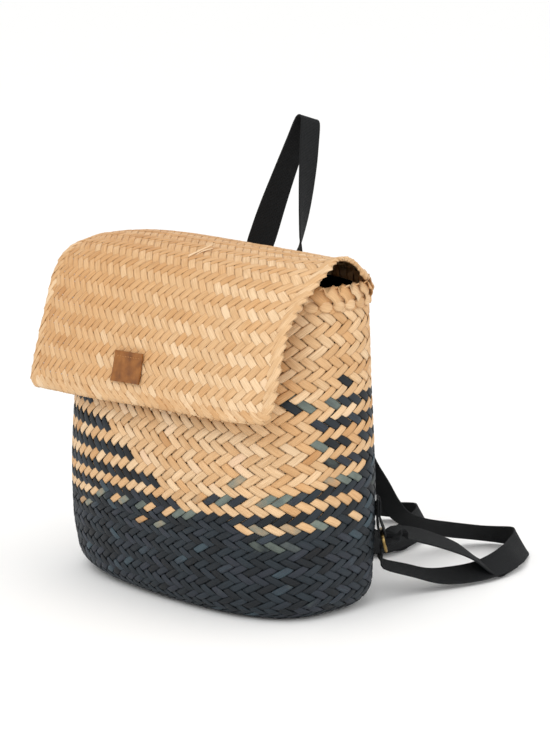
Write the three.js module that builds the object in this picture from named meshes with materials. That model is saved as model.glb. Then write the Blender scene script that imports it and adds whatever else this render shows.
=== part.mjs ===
import * as THREE from 'three';

// Woven straw backpack: a basket body with a black lining, a wide straw flap, a webbing grab handle,
// and two webbing shoulder straps that run through brass rings at the lower back corners.
// Millimetres, +Z up, the front faces -Y. The origin is the centre of the flat bottom.

// Basket
const bodyHeight = 296;
const bodyWidth = 313;
const bodyDepth = 181;
const planExponent = 2.9; // the plan is a superellipse, a rounded oblong
const basketWall = 3;
const bottomRadius = 22;
const rimWall = 5; // the strips are turned back at the rim, which makes it thicker
const rimFold = 11;

// Lining
const liningWall = 1;
const liningInset = 7; // below the rim

// Flap
const flapWidth = 319;
const flapStandOff = 9; // the hem, from the deepest part of the front
const flapDrop = 113; // from the rim down to the hem
const flapRise = 25; // the arch above the rim
const flapWall = 2.8;
const hemWall = 4;
const hemBand = 12;
const seamWrap = 46; // how far the seam follows the rim round its back corners
const seamEase = 0.4; // share of the flap over which that bend fades out
const seamPower = 4.5; // how late across the flap the seam bends
const edgePower = 5; // how late across the flap its side edges droop

// Label
const labelWidth = 37;
const labelHeight = 27;
const labelWall = 1.6;
const labelSide = -18; // its centre, from the middle of the flap
const labelAboveHem = 28; // its centre, from the hem

// Webbing, for the handle, the straps and their tabs
const webbingWidth = 25;
const webbingThick = 1.6;

// Grab handle
const handleHeight = 123; // above the rim
const handleSide = -6; // its middle, from the middle of the back
const handleSpread = 52; // between the two legs at the rim
const handleLean = 37; // how far the crest lies behind the legs at the rim
const handleOff = 9; // the legs at the rim, from the back rim
const handleSewn = 40; // below the rim
const handleEase = 16; // degrees that the webbing still turns as it settles on the back

// Shoulder straps
const strapSpread = 124; // between the two upper ends
const strapTop = 268; // height of the upper ends
const strapSewn = 37; // length that is sewn flat on the back
const strapParting = 4; // how far the webbing has left the back where its sewn part ends
const strapReach = 194; // how far the loops lie behind the back
const loopWidth = 104;
const nearLoopSide = 105; // middle of the loop of the +X strap
const farLoopSide = -22; // both loops fall towards +X

// Brass rings and the tabs that hold them
const ringHeight = 56;
const ringStandOff = 8;
const ringBearing = 47; // degrees from +X towards the back, the corner that the tab is sewn on
const ringWire = 3;
const ringDrop = 14; // between the middles of the two long bars
const ringLength = 33; // between the middles of the two short bars
const ringTilt = 14; // degrees, the lower bar swings outwards
const ringCorner = 3.5; // radius of its bent corners
const tabLength = 32;

// Gaps
const clearance = 0.3;

// Mesh fineness
const planSides = 48;
const flapColumns = 26;
const wireSides = 8;
const wallRises = [0.14, 0.22, 0.3, 0.4, 0.5, 0.6, 0.7, 0.8, 0.88]; // shares of bodyHeight
const flapRows = 22;

// Each table row gives shares of the named sizes that its columns follow.

// rise of bodyHeight, width of bodyWidth, front and back of bodyDepth. The front leans back under the flap.
const bodySections = [
  { rise: 0.0, width: 0.985, front: 0.945, back: 0.945 },
  { rise: 0.12, width: 1.0, front: 0.955, back: 0.955 },
  { rise: 0.3, width: 1.0, front: 1.0, back: 1.0 },
  { rise: 0.5, width: 0.99, front: 0.977, back: 0.977 },
  { rise: 0.7, width: 0.987, front: 0.86, back: 0.908 },
  { rise: 0.85, width: 1.0, front: 0.7, back: 0.832 },
  { rise: 1.0, width: 1.01, front: 0.56, back: 0.757 },
];

// The flap from seam to hem, for its middle and its two side edges. forward of flapReach;
// lift of flapRise above the rim, fall of flapDrop below it.
const flapMiddle = [
  { along: 0.0, forward: 0.0, lift: 0.01, fall: 0.0 },
  { along: 0.09, forward: 0.12, lift: 0.44, fall: 0.0 },
  { along: 0.18, forward: 0.25, lift: 0.74, fall: 0.0 },
  { along: 0.26, forward: 0.37, lift: 0.88, fall: 0.0 },
  { along: 0.31, forward: 0.45, lift: 0.9, fall: 0.0 },
  { along: 0.37, forward: 0.545, lift: 0.8, fall: 0.0 },
  { along: 0.43, forward: 0.63, lift: 0.58, fall: 0.0 },
  { along: 0.49, forward: 0.71, lift: 0.25, fall: 0.0 },
  { along: 0.555, forward: 0.78, lift: 0.0, fall: 0.05 },
  { along: 0.625, forward: 0.84, lift: 0.0, fall: 0.18 },
  { along: 0.7, forward: 0.885, lift: 0.0, fall: 0.33 },
  { along: 0.775, forward: 0.922, lift: 0.0, fall: 0.5 },
  { along: 0.855, forward: 0.955, lift: 0.0, fall: 0.67 },
  { along: 0.93, forward: 0.98, lift: 0.0, fall: 0.84 },
  { along: 1.0, forward: 1.0, lift: 0.0, fall: 1.0 },
];
const flapRight = [
  { along: 0.0, forward: 0.0, lift: 0.01, fall: 0.0 },
  { along: 0.1, forward: 0.13, lift: 0.5, fall: 0.0 },
  { along: 0.2, forward: 0.26, lift: 0.86, fall: 0.0 },
  { along: 0.3, forward: 0.38, lift: 1.02, fall: 0.0 },
  { along: 0.38, forward: 0.48, lift: 0.96, fall: 0.0 },
  { along: 0.46, forward: 0.57, lift: 0.5, fall: 0.0 },
  { along: 0.53, forward: 0.655, lift: 0.0, fall: 0.01 },
  { along: 0.61, forward: 0.74, lift: 0.0, fall: 0.11 },
  { along: 0.7, forward: 0.825, lift: 0.0, fall: 0.27 },
  { along: 0.8, forward: 0.875, lift: 0.0, fall: 0.49 },
  { along: 0.9, forward: 0.915, lift: 0.0, fall: 0.74 },
  { along: 1.0, forward: 0.958, lift: 0.0, fall: 0.96 },
];
const flapLeft = [
  { along: 0.0, forward: 0.0, lift: 0.01, fall: 0.0 },
  { along: 0.1, forward: 0.13, lift: 0.2, fall: 0.0 },
  { along: 0.2, forward: 0.27, lift: 0.28, fall: 0.0 },
  { along: 0.3, forward: 0.4, lift: 0.31, fall: 0.0 },
  { along: 0.4, forward: 0.53, lift: 0.2, fall: 0.0 },
  { along: 0.5, forward: 0.66, lift: 0.0, fall: 0.01 },
  { along: 0.58, forward: 0.745, lift: 0.0, fall: 0.1 },
  { along: 0.66, forward: 0.8, lift: 0.0, fall: 0.25 },
  { along: 0.74, forward: 0.84, lift: 0.0, fall: 0.42 },
  { along: 0.82, forward: 0.88, lift: 0.0, fall: 0.6 },
  { along: 0.91, forward: 0.93, lift: 0.0, fall: 0.83 },
  { along: 1.0, forward: 0.965, lift: 0.0, fall: 1.05 },
];

// One leg of the handle from the crest down. side of handleSpread / 2, rise of handleHeight,
// face in degrees: 90 when the webbing's width points backwards, 0 when it lies flat on the back.
const handleLeg = [
  { side: 0.0, rise: 1.0, face: 90 },
  { side: 0.11, rise: 0.985, face: 90 },
  { side: 0.18, rise: 0.95, face: 90 },
  { side: 0.3, rise: 0.84, face: 89 },
  { side: 0.45, rise: 0.7, face: 86 },
  { side: 0.64, rise: 0.5, face: 77 },
  { side: 0.81, rise: 0.3, face: 64 },
  { side: 0.93, rise: 0.12, face: 48 },
  { side: 1.0, rise: 0.0, face: 28 },
];

// The hanging part of a strap. side of loopWidth / 2 from the loop's middle, back of strapReach,
// rise of strapTop, and the direction of the webbing's width.
const strapFall = [
  { side: -1.0, back: 0.09, rise: 0.56, edgeSide: 1, edgeBack: 0, edgeRise: 0.02 },
  { side: -1.0, back: 0.18, rise: 0.41, edgeSide: 1, edgeBack: 0, edgeRise: 0.06 },
  { side: -0.99, back: 0.295, rise: 0.296, edgeSide: 1, edgeBack: -0.02, edgeRise: 0.16 },
  { side: -0.98, back: 0.37, rise: 0.22, edgeSide: 1, edgeBack: -0.06, edgeRise: 0.3 },
  { side: -0.96, back: 0.44, rise: 0.165, edgeSide: 0.95, edgeBack: -0.1, edgeRise: 0.45 },
  { side: -0.93, back: 0.555, rise: 0.118, edgeSide: 0.85, edgeBack: -0.15, edgeRise: 0.6 },
];
// The loop that lies on the floor, standing on its edge and leaning inwards.
const strapLoop = [
  { side: -0.83, back: 0.74, rise: 0.076, edgeSide: 0.75, edgeBack: -0.2, edgeRise: 0.72 },
  { side: -0.64, back: 0.9, rise: 0.05, edgeSide: 0.68, edgeBack: -0.32, edgeRise: 0.76 },
  { side: -0.34, back: 0.985, rise: 0.042, edgeSide: 0.45, edgeBack: -0.45, edgeRise: 0.8 },
  { side: 0.02, back: 1.0, rise: 0.042, edgeSide: 0.1, edgeBack: -0.5, edgeRise: 0.84 },
  { side: 0.34, back: 0.94, rise: 0.045, edgeSide: -0.35, edgeBack: -0.42, edgeRise: 0.82 },
  { side: 0.62, back: 0.83, rise: 0.048, edgeSide: -0.62, edgeBack: -0.32, edgeRise: 0.7 },
  { side: 0.87, back: 0.71, rise: 0.05, edgeSide: -0.78, edgeBack: -0.2, edgeRise: 0.6 },
  { side: 1.0, back: 0.57, rise: 0.042, edgeSide: -0.86, edgeBack: -0.06, edgeRise: 0.5 },
  { side: 1.02, back: 0.44, rise: 0.036, edgeSide: -0.9, edgeBack: 0.04, edgeRise: 0.42 },
];
// The way back to the ring. toRing is the share of the way from the loop's end to the ring.
const nearReturn = [
  { toRing: 0.3, back: 0.31, rise: 0.036, edgeSide: -0.9, edgeBack: 0.12, edgeRise: 0.4 },
  { toRing: 0.6, back: 0.185, rise: 0.046, edgeSide: -0.9, edgeBack: 0.25, edgeRise: 0.34 },
  { toRing: 0.9, back: 0.06, rise: 0.076, edgeSide: -0.85, edgeBack: 0.45, edgeRise: 0.22 },
];
const farReturn = [
  { toRing: 0.1, back: 0.31, rise: 0.036, edgeSide: -0.7, edgeBack: 0.6, edgeRise: 0.4 },
  { toRing: 0.36, back: 0.215, rise: 0.036, edgeSide: -0.3, edgeBack: 0.86, edgeRise: 0.36 },
  { toRing: 0.66, back: 0.16, rise: 0.036, edgeSide: -0.3, edgeBack: 0.9, edgeRise: 0.28 },
  { toRing: 0.9, back: 0.1, rise: 0.06, edgeSide: -0.75, edgeBack: 0.6, edgeRise: 0.12 },
];
// Up on the inside of the ring's lower bar and over it, from the bar's middle. Shares of the wrap's radius.
const strapThrough = [
  { out: -1.4, up: -4.6 },
  { out: -1.3, up: -2.2 },
  { out: -1.35, up: 0.0 },
  { out: -1.0, up: 1.1 },
  { out: 0.1, up: 1.6 },
  { out: 1.2, up: 2.0 },
  { out: 2.4, up: 2.4 },
];
// The end of the strap, from the ring back to the loop, where it is sewn under the loop.
const nearEnd = [
  { toLoop: 0.08, back: -0.05, rise: 0.222, edgeSide: -0.76, edgeBack: 0.6, edgeRise: 0.12 },
  { toLoop: 0.3, back: 0.07, rise: 0.202, edgeSide: -0.85, edgeBack: 0.35, edgeRise: 0.34 },
  { toLoop: 0.55, back: 0.21, rise: 0.164, edgeSide: -0.9, edgeBack: 0.12, edgeRise: 0.44 },
  { toLoop: 0.8, back: 0.355, rise: 0.114, edgeSide: -0.9, edgeBack: 0, edgeRise: 0.46 },
];
const farEnd = [
  { toLoop: -0.02, back: 0.06, rise: 0.222, edgeSide: -0.85, edgeBack: -0.2, edgeRise: 0.1 },
  { toLoop: 0.14, back: 0.17, rise: 0.202, edgeSide: -0.6, edgeBack: 0.7, edgeRise: 0.24 },
  { toLoop: 0.42, back: 0.25, rise: 0.164, edgeSide: -0.4, edgeBack: 0.85, edgeRise: 0.34 },
  { toLoop: 0.75, back: 0.35, rise: 0.114, edgeSide: -0.66, edgeBack: 0.55, edgeRise: 0.42 },
];
// Where that end lies under the loop. row is a place in strapLoop, under the depth of the layer.
const sewnUnder = [
  { row: 7.35, under: 1.0 },
  { row: 6.8, under: 1.0 },
  { row: 6.2, under: 1.0 },
];

const straw = new THREE.MeshStandardMaterial({ name: 'straw', color: 0xe0ba88, roughness: 0.75 });
const lining = new THREE.MeshStandardMaterial({ name: 'lining cloth', color: 0x0c0c0d, roughness: 0.95 });
const webbing = new THREE.MeshStandardMaterial({ name: 'webbing', color: 0x202123, roughness: 0.85 });
const leather = new THREE.MeshStandardMaterial({ name: 'leather', color: 0x9a6038, roughness: 0.6 });
const brass = new THREE.MeshStandardMaterial({ name: 'brass', color: 0xb08d57, roughness: 0.35, metalness: 1 });

const pack = new THREE.Group();

function addPiece(name, geometry, material) {
  const piece = new THREE.Mesh(geometry, material);
  piece.name = name;
  pack.add(piece);
}

function radians(degrees) {
  return THREE.MathUtils.degToRad(degrees);
}

// Reads a column of a table at a place between its rows, on a smooth curve through them.
function readTable(rows, key, at, column) {
  const last = rows.length - 2;
  let i = rows.findIndex((row, k) => k <= last && at <= rows[k + 1][key]);
  i = i < 0 ? last : i;
  const slope = (k) => {
    const before = rows[Math.max(k - 1, 0)];
    const after = rows[Math.min(k + 1, rows.length - 1)];
    return (after[column] - before[column]) / (after[key] - before[key]);
  };
  const span = rows[i + 1][key] - rows[i][key];
  const t = THREE.MathUtils.clamp((at - rows[i][key]) / span, 0, 1);
  const from = rows[i][column];
  const to = rows[i + 1][column];
  const change = to - from;
  const bend = (1 - t) * (slope(i) * span - change) + t * (change - slope(i + 1) * span);
  return from + change * t + t * (1 - t) * bend;
}

// Builds an indexed geometry from points and triangles.
function solidFrom(points, triangles) {
  const geometry = new THREE.BufferGeometry();
  geometry.setAttribute('position', new THREE.Float32BufferAttribute(points.flatMap((p) => p.toArray()), 3));
  geometry.setIndex(triangles);
  geometry.computeVertexNormals();
  return geometry;
}

// Skins a row of equal sections, each a closed ring of points that turns left round the way ahead.
// The ends are closed with a fan, or joined to each other when the row is a loop.
function skinSections(sections, isLoop = false) {
  const sides = sections[0].length;
  const points = sections.flat();
  const triangles = [];
  const bands = isLoop ? sections.length : sections.length - 1;
  for (let i = 0; i < bands; i += 1) {
    const low = i * sides;
    const high = ((i + 1) % sections.length) * sides;
    for (let j = 0; j < sides; j += 1) {
      const next = (j + 1) % sides;
      triangles.push(low + j, low + next, high + next, low + j, high + next, high + j);
    }
  }
  if (!isLoop) {
    for (const [start, isFirst] of [[0, true], [(sections.length - 1) * sides, false]]) {
      const middle = new THREE.Vector3();
      for (let j = 0; j < sides; j += 1) middle.addScaledVector(points[start + j], 1 / sides);
      points.push(middle);
      for (let j = 0; j < sides; j += 1) {
        const here = start + j;
        const next = start + ((j + 1) % sides);
        triangles.push(...(isFirst ? [next, here, points.length - 1] : [here, next, points.length - 1]));
      }
    }
  }
  return solidFrom(points, triangles);
}

// Half the body's width and its reach to the front and back at a height, with the rounded bottom edge.
function bodyHalves(height) {
  const rise = height / bodyHeight;
  const below = Math.max(bottomRadius - height, 0);
  const pullIn = bottomRadius - Math.sqrt(bottomRadius ** 2 - below ** 2);
  return {
    width: (readTable(bodySections, 'rise', rise, 'width') * bodyWidth) / 2 - pullIn,
    front: (readTable(bodySections, 'rise', rise, 'front') * bodyDepth) / 2 - pullIn,
    back: (readTable(bodySections, 'rise', rise, 'back') * bodyDepth) / 2 - pullIn,
  };
}

// A level ring of points on the body's plan, grown by an offset.
function bodyRing(height, offset) {
  const half = bodyHalves(height);
  const ring = [];
  for (let i = 0; i < planSides; i += 1) {
    const angle = (i / planSides) * 2 * Math.PI;
    const c = Math.cos(angle);
    const s = Math.sin(angle);
    const x = (half.width + offset) * Math.sign(c) * Math.abs(c) ** (2 / planExponent);
    const depth = s < 0 ? half.front : half.back;
    const y = (depth + offset) * Math.sign(s) * Math.abs(s) ** (2 / planExponent);
    ring.push(new THREE.Vector3(x, y, height));
  }
  return ring;
}

// The same ring set at another height, for the inner floor and the lining's.
function atHeight(ring, height) {
  return ring.map((point) => new THREE.Vector3(point.x, point.y, height));
}

// Y of the back face at a place across the body.
function backFace(side, height) {
  const half = bodyHalves(height);
  return half.back * (1 - Math.min(Math.abs(side) / half.width, 1) ** planExponent) ** (1 / planExponent);
}

// The level direction along the back face at a place across the body.
function backTangent(side, height) {
  const half = webbingWidth / 2;
  const turn = backFace(side + half, height) - backFace(side - half, height);
  return new THREE.Vector3(webbingWidth, turn, 0).normalize();
}

// The point of the back half of the plan whose outward direction is the bearing.
function cornerPoint(height, bearing) {
  const half = bodyHalves(height);
  const m = planExponent / (planExponent - 1);
  const c = half.width * Math.cos(bearing);
  const s = half.back * Math.sin(bearing);
  const reach = (Math.abs(c) ** m + Math.abs(s) ** m) ** (1 / m);
  const power = 1 / (planExponent - 1);
  return new THREE.Vector3(
    half.width * Math.sign(c) * (Math.abs(c) / reach) ** power,
    half.back * Math.sign(s) * (Math.abs(s) / reach) ** power,
    height,
  );
}

// Heights of the sections, close together round the bottom edge.
function sectionHeights(from, to) {
  const heights = [0, 0.12, 0.4, 1].map((share) => from + share * bottomRadius);
  for (const rise of wallRises) heights.push(rise * bodyHeight);
  return [...heights.filter((height) => height < to), to];
}

// A basket-shaped shell: the outer skin up, over the top edge, and down inside to the inner floor.
function shell(outset, wall, bottom, top, edgeWall, edgeDepth) {
  const edge = (edgeWall - wall) / 2;
  const outer = sectionHeights(bottom, top - edgeDepth).map((z) => atHeight(bodyRing(z - bottom, outset), z));
  const inner = sectionHeights(bottom + wall, top - edgeDepth)
    .map((z) => atHeight(bodyRing(z - bottom - wall, outset - wall), z));
  const lip = [
    atHeight(bodyRing(top - edgeDepth / 2, outset + edge), top - edgeDepth / 2),
    bodyRing(top, outset + edge),
    bodyRing(top, outset - wall - edge),
    atHeight(bodyRing(top - edgeDepth / 2, outset - wall - edge), top - edgeDepth / 2),
  ];
  return skinSections([...outer, ...lip, ...inner.reverse()]);
}

function basketGeometry() {
  return shell(0, basketWall, 0, bodyHeight, rimWall, rimFold);
}

function liningGeometry() {
  const inset = -basketWall - clearance * 2;
  const top = bodyHeight - rimFold - liningInset;
  return shell(inset, liningWall, basketWall + clearance, top, liningWall, liningInset);
}

const backRim = bodyHalves(bodyHeight).back;
const flapReach = backRim + bodyDepth / 2 + flapStandOff; // from the seam forward to the hem, along Y

// A point on the flap's middle surface. across runs from -1 to 1, along from 0 at the seam to 1 at the hem.
function flapPoint(across, along) {
  const edgeRows = across < 0 ? flapLeft : flapRight;
  const edgeShare = Math.abs(across) ** edgePower;
  const read = (column) => THREE.MathUtils.lerp(
    readTable(flapMiddle, 'along', along, column),
    readTable(edgeRows, 'along', along, column),
    edgeShare,
  );
  const seam = seamWrap * Math.abs(across) ** seamPower * Math.max(1 - along / seamEase, 0);
  return new THREE.Vector3(
    (across * flapWidth) / 2,
    backRim - read('forward') * flapReach - seam,
    bodyHeight + flapWall / 2 + clearance + read('lift') * flapRise - read('fall') * flapDrop,
  );
}

// Outward direction of a surface given by a function of two shares.
function surfaceNormal(pointAt, u, v, step = 0.004) {
  const du = pointAt(u + step, v).sub(pointAt(u - step, v));
  const dv = pointAt(u, Math.min(v + step, 1)).sub(pointAt(u, Math.max(v - step, 0)));
  return dv.cross(du).normalize();
}

// A sheet with a thickness, from a grid of places on a surface.
function sheet(pointAt, across, along, offset, wallAt) {
  const columns = across.length;
  const rows = along.length;
  const points = [];
  for (const side of [1, -1]) {
    for (const v of along) {
      for (const u of across) {
        const normal = surfaceNormal(pointAt, u, v);
        points.push(pointAt(u, v).addScaledVector(normal, offset + (side * wallAt(u, v)) / 2));
      }
    }
  }
  const triangles = [];
  const quad = (a, b, c, d) => triangles.push(a, b, c, a, c, d);
  const at = (layer, row, column) => (layer * rows + row) * columns + column;
  for (let i = 0; i < rows - 1; i += 1) {
    for (let j = 0; j < columns - 1; j += 1) {
      quad(at(0, i, j), at(0, i + 1, j), at(0, i + 1, j + 1), at(0, i, j + 1));
      quad(at(1, i, j), at(1, i, j + 1), at(1, i + 1, j + 1), at(1, i + 1, j));
    }
    quad(at(0, i, 0), at(1, i, 0), at(1, i + 1, 0), at(0, i + 1, 0));
    quad(at(0, i, columns - 1), at(0, i + 1, columns - 1), at(1, i + 1, columns - 1), at(1, i, columns - 1));
  }
  for (let j = 0; j < columns - 1; j += 1) {
    quad(at(0, 0, j), at(0, 0, j + 1), at(1, 0, j + 1), at(1, 0, j));
    quad(at(0, rows - 1, j), at(1, rows - 1, j), at(1, rows - 1, j + 1), at(0, rows - 1, j + 1));
  }
  return solidFrom(points, triangles);
}

function evenSteps(count, from, to) {
  return Array.from({ length: count + 1 }, (unused, i) => THREE.MathUtils.lerp(from, to, i / count));
}

function flapGeometry() {
  const sideBand = hemBand / (flapWidth / 2);
  const endBand = hemBand / (flapReach + flapDrop);
  const across = [-1, ...evenSteps(flapColumns, -1 + sideBand, 1 - sideBand), 1];
  const along = [...evenSteps(flapRows, 0, 1 - endBand), 1 - endBand / 2, 1];
  const isHem = (u, v) => Math.abs(u) > 1 - sideBand * 0.9 || v > 1 - endBand * 0.9;
  return sheet(flapPoint, across, along, 0, (u, v) => (isHem(u, v) ? hemWall : flapWall));
}

// The place along the flap that lies a distance above the hem, measured over its surface.
function alongAbove(across, distance) {
  const step = 0.001;
  let along = 1;
  let length = 0;
  while (length < distance) {
    length += flapPoint(across, along).distanceTo(flapPoint(across, along - step));
    along -= step;
  }
  return along;
}

function labelGeometry() {
  const halfAcross = labelWidth / flapWidth;
  const centre = (2 * labelSide) / flapWidth;
  const across = evenSteps(6, centre - halfAcross, centre + halfAcross);
  const upper = alongAbove(centre, labelAboveHem + labelHeight / 2);
  const lower = alongAbove(centre, labelAboveHem - labelHeight / 2);
  const along = evenSteps(4, upper, lower);
  return sheet(flapPoint, across, along, flapWall / 2 + clearance + labelWall / 2, () => labelWall);
}

// A flat band of webbing through stations, each a point and the direction of the band's width.
function band(stations, samplesEach) {
  const path = new THREE.CatmullRomCurve3(stations.map((station) => station.point));
  const edges = new THREE.CatmullRomCurve3(stations.map((station) => station.edge));
  const count = (stations.length - 1) * samplesEach;
  const sections = [];
  for (let i = 0; i <= count; i += 1) {
    const point = path.getPoint(i / count);
    const ahead = path.getTangent(i / count);
    const edge = edges.getPoint(i / count);
    edge.addScaledVector(ahead, -edge.dot(ahead)).normalize().multiplyScalar(webbingWidth / 2);
    const face = ahead.clone().cross(edge).setLength(webbingThick / 2);
    sections.push([
      point.clone().sub(edge).sub(face),
      point.clone().add(edge).sub(face),
      point.clone().add(edge).add(face),
      point.clone().sub(edge).add(face),
    ]);
  }
  return skinSections(sections);
}

const flatOff = webbingThick / 2 + clearance * 2; // middle of webbing that is sewn flat on a face

// The handle: two mirrored legs that meet at the crest, their ends sewn flat on the back.
function handleGeometry() {
  const leg = (mirror) => {
    const free = handleLeg.map((row) => {
      const face = radians(row.face);
      return {
        point: new THREE.Vector3(
          handleSide + (mirror * row.side * handleSpread) / 2,
          backRim + handleOff + row.rise * handleLean,
          bodyHeight + row.rise * handleHeight,
        ),
        edge: new THREE.Vector3(
          -mirror * Math.cos(face),
          Math.sin(face),
          -Math.sin(face) * (handleLean / handleHeight),
        ),
      };
    });
    const sewn = [0, 0.35, 0.7, 1].map((share) => {
      const height = bodyHeight - rimFold - share * (handleSewn - rimFold);
      const loose = (1 - share) ** 2;
      const side = handleSide + (mirror * handleSpread) / 2;
      return {
        point: new THREE.Vector3(side, backFace(side, height) + flatOff + (loose * handleOff) / 2, height),
        edge: backTangent(side, height).multiplyScalar(-mirror)
          .add(new THREE.Vector3(0, radians(handleEase * loose), 0)),
      };
    });
    return [...free, ...sewn];
  };
  return band([...leg(-1).reverse(), ...leg(1).slice(1)], 3);
}

// The ring's frame at one lower back corner: the corner's outward direction and the bar direction.
function ringFrame(mirror) {
  const bearing = radians(ringBearing);
  const out = new THREE.Vector3(mirror * Math.cos(bearing), Math.sin(bearing), 0);
  const bar = new THREE.Vector3(mirror * -Math.sin(bearing), Math.cos(bearing), 0);
  const face = cornerPoint(ringHeight, bearing);
  face.x *= mirror;
  const centre = face.clone().addScaledVector(out, ringStandOff);
  // a place by its distance out from the face of the body below the ring's middle and its height
  const at = (standOff, height) => {
    const point = cornerPoint(height, bearing);
    point.x *= mirror;
    return point.addScaledVector(out, standOff);
  };
  const fromCentre = (outwards, up) => centre.clone().addScaledVector(out, outwards).setZ(ringHeight + up);
  return { out, bar, centre, at, fromCentre };
}

const barOut = (ringDrop / 2) * Math.sin(radians(ringTilt));
const barUp = (ringDrop / 2) * Math.cos(radians(ringTilt));
const wrapRadius = ringWire / 2 + clearance * 1.5 + webbingThick / 2;

// A rectangular wire ring with rounded corners.
function ringGeometry(mirror) {
  const frame = ringFrame(mirror);
  const down = frame.fromCentre(barOut, -barUp).sub(frame.centre).normalize();
  const loop = [];
  for (const [along, across, start] of [[1, 1, 0], [-1, 1, 90], [-1, -1, 180], [1, -1, 270]]) {
    for (const turn of [0, 30, 60, 90]) {
      const angle = radians(start + turn);
      loop.push([
        along * (ringLength / 2 - ringCorner) + ringCorner * Math.cos(angle),
        across * (ringDrop / 2 - ringCorner) + ringCorner * Math.sin(angle),
      ]);
    }
  }
  const normal = frame.bar.clone().cross(down).normalize();
  const sections = loop.map(([along, across], i) => {
    const [lastAlong, lastAcross] = loop[(i + loop.length - 1) % loop.length];
    const [nextAlong, nextAcross] = loop[(i + 1) % loop.length];
    const centre = frame.centre.clone().addScaledVector(frame.bar, along).addScaledVector(down, across);
    const ahead = frame.bar.clone().multiplyScalar(nextAlong - lastAlong)
      .addScaledVector(down, nextAcross - lastAcross).normalize();
    const inward = ahead.clone().cross(normal);
    return Array.from({ length: wireSides }, (unused, k) => {
      const angle = (k / wireSides) * 2 * Math.PI;
      return centre.clone()
        .addScaledVector(normal, (ringWire / 2) * Math.cos(angle))
        .addScaledVector(inward, (ringWire / 2) * Math.sin(angle));
    });
  });
  return skinSections(sections, true);
}

// The tab: sewn on the corner, folded round the ring's upper bar, and back over itself.
function tabGeometry(mirror) {
  const frame = ringFrame(mirror);
  const over = flatOff + webbingThick + clearance;
  const foot = ringHeight + barUp;
  const station = (point) => ({ point, edge: frame.bar.clone() });
  const turn = (degrees) => station(frame.fromCentre(
    -barOut + wrapRadius * Math.cos(radians(degrees)),
    barUp + wrapRadius * Math.sin(radians(degrees)),
  ));
  return band([
    station(frame.at(flatOff, foot + tabLength)),
    station(frame.at(flatOff, foot + tabLength * 0.7)),
    station(frame.at(flatOff, foot + tabLength * 0.45)),
    turn(170),
    turn(215),
    turn(270),
    turn(325),
    turn(10),
    station(frame.at(over, foot + tabLength * 0.45)),
    station(frame.at(over, foot + tabLength * 0.7)),
    station(frame.at(over, foot + tabLength * 0.95)),
  ], 2);
}

// One shoulder strap: sewn on the back, hanging to the floor, round its loop, through the ring
// from below, and back to the loop, under which its end is sewn.
function strapStations(mirror, loopSide, returnRows, endRows) {
  const frame = ringFrame(mirror);
  const anchorSide = (mirror * strapSpread) / 2;
  const backAt = bodyDepth / 2;
  const edgeOf = (row) => new THREE.Vector3(row.edgeSide, row.edgeBack, row.edgeRise).normalize();
  const onFloor = (edge, height) => Math.max(height, (edge.z * webbingWidth + webbingThick) / 2 + clearance);
  const place = (side, row) => {
    const edge = edgeOf(row);
    const height = onFloor(edge, row.rise * strapTop);
    return { point: new THREE.Vector3(side, backAt + row.back * strapReach, height), edge };
  };
  const sewn = [0, 0.5, 1, 1.6].map((share) => {
    const height = strapTop - share * strapSewn;
    const parted = Math.max(share - 1, 0) / 0.6;
    const off = flatOff + parted * strapParting;
    return {
      point: new THREE.Vector3(anchorSide, backFace(anchorSide, height) + off, height),
      edge: backTangent(anchorSide, height),
    };
  });
  const fall = strapFall.map((row, i) => {
    const loopX = loopSide + (row.side * loopWidth) / 2;
    return place(THREE.MathUtils.lerp(anchorSide, loopX, Math.min((i + 1) / strapFall.length, 1)), row);
  });
  const loop = strapLoop.map((row) => place(loopSide + (row.side * loopWidth) / 2, row));
  const loopEnd = loop[loop.length - 1].point.x;
  const back = returnRows.map((row) => place(THREE.MathUtils.lerp(loopEnd, frame.centre.x, row.toRing), row));
  const barEdge = mirror > 0 ? frame.bar.clone() : frame.bar.clone().negate();
  const through = strapThrough.map((row) => ({
    point: frame.fromCentre(barOut + row.out * wrapRadius, -barUp + row.up * wrapRadius),
    edge: barEdge.clone(),
  }));
  const path = new THREE.CatmullRomCurve3(loop.map((station) => station.point));
  const edges = new THREE.CatmullRomCurve3(loop.map((station) => station.edge));
  const sewnEnd = sewnUnder.map(({ row, under }) => {
    const t = row / (loop.length - 1);
    const edge = edges.getPoint(t).normalize();
    const below = path.getTangent(t).cross(edge).normalize();
    if (below.z > 0) below.negate();
    const gap = under * (webbingThick + clearance * 2);
    return { point: path.getPoint(t).addScaledVector(below, gap), edge };
  });
  const endSide = sewnEnd[0].point.x;
  const end = endRows.map((row) => place(THREE.MathUtils.lerp(frame.centre.x, endSide, row.toLoop), row));
  return [...sewn, ...fall, ...loop, ...back, ...through, ...end, ...sewnEnd];
}

addPiece('basket', basketGeometry(), straw);
addPiece('lining', liningGeometry(), lining);
addPiece('flap', flapGeometry(), straw);
addPiece('leather_label', labelGeometry(), leather);
addPiece('grab_handle', handleGeometry(), webbing);
addPiece('shoulder_strap_right', band(strapStations(1, nearLoopSide, nearReturn, nearEnd), 2), webbing);
addPiece('shoulder_strap_left', band(strapStations(-1, farLoopSide, farReturn, farEnd), 2), webbing);
for (const [side, mirror] of [['right', 1], ['left', -1]]) {
  addPiece(`ring_tab_${side}`, tabGeometry(mirror), webbing);
  addPiece(`ring_${side}`, ringGeometry(mirror), brass);
}

export default pack;
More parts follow.
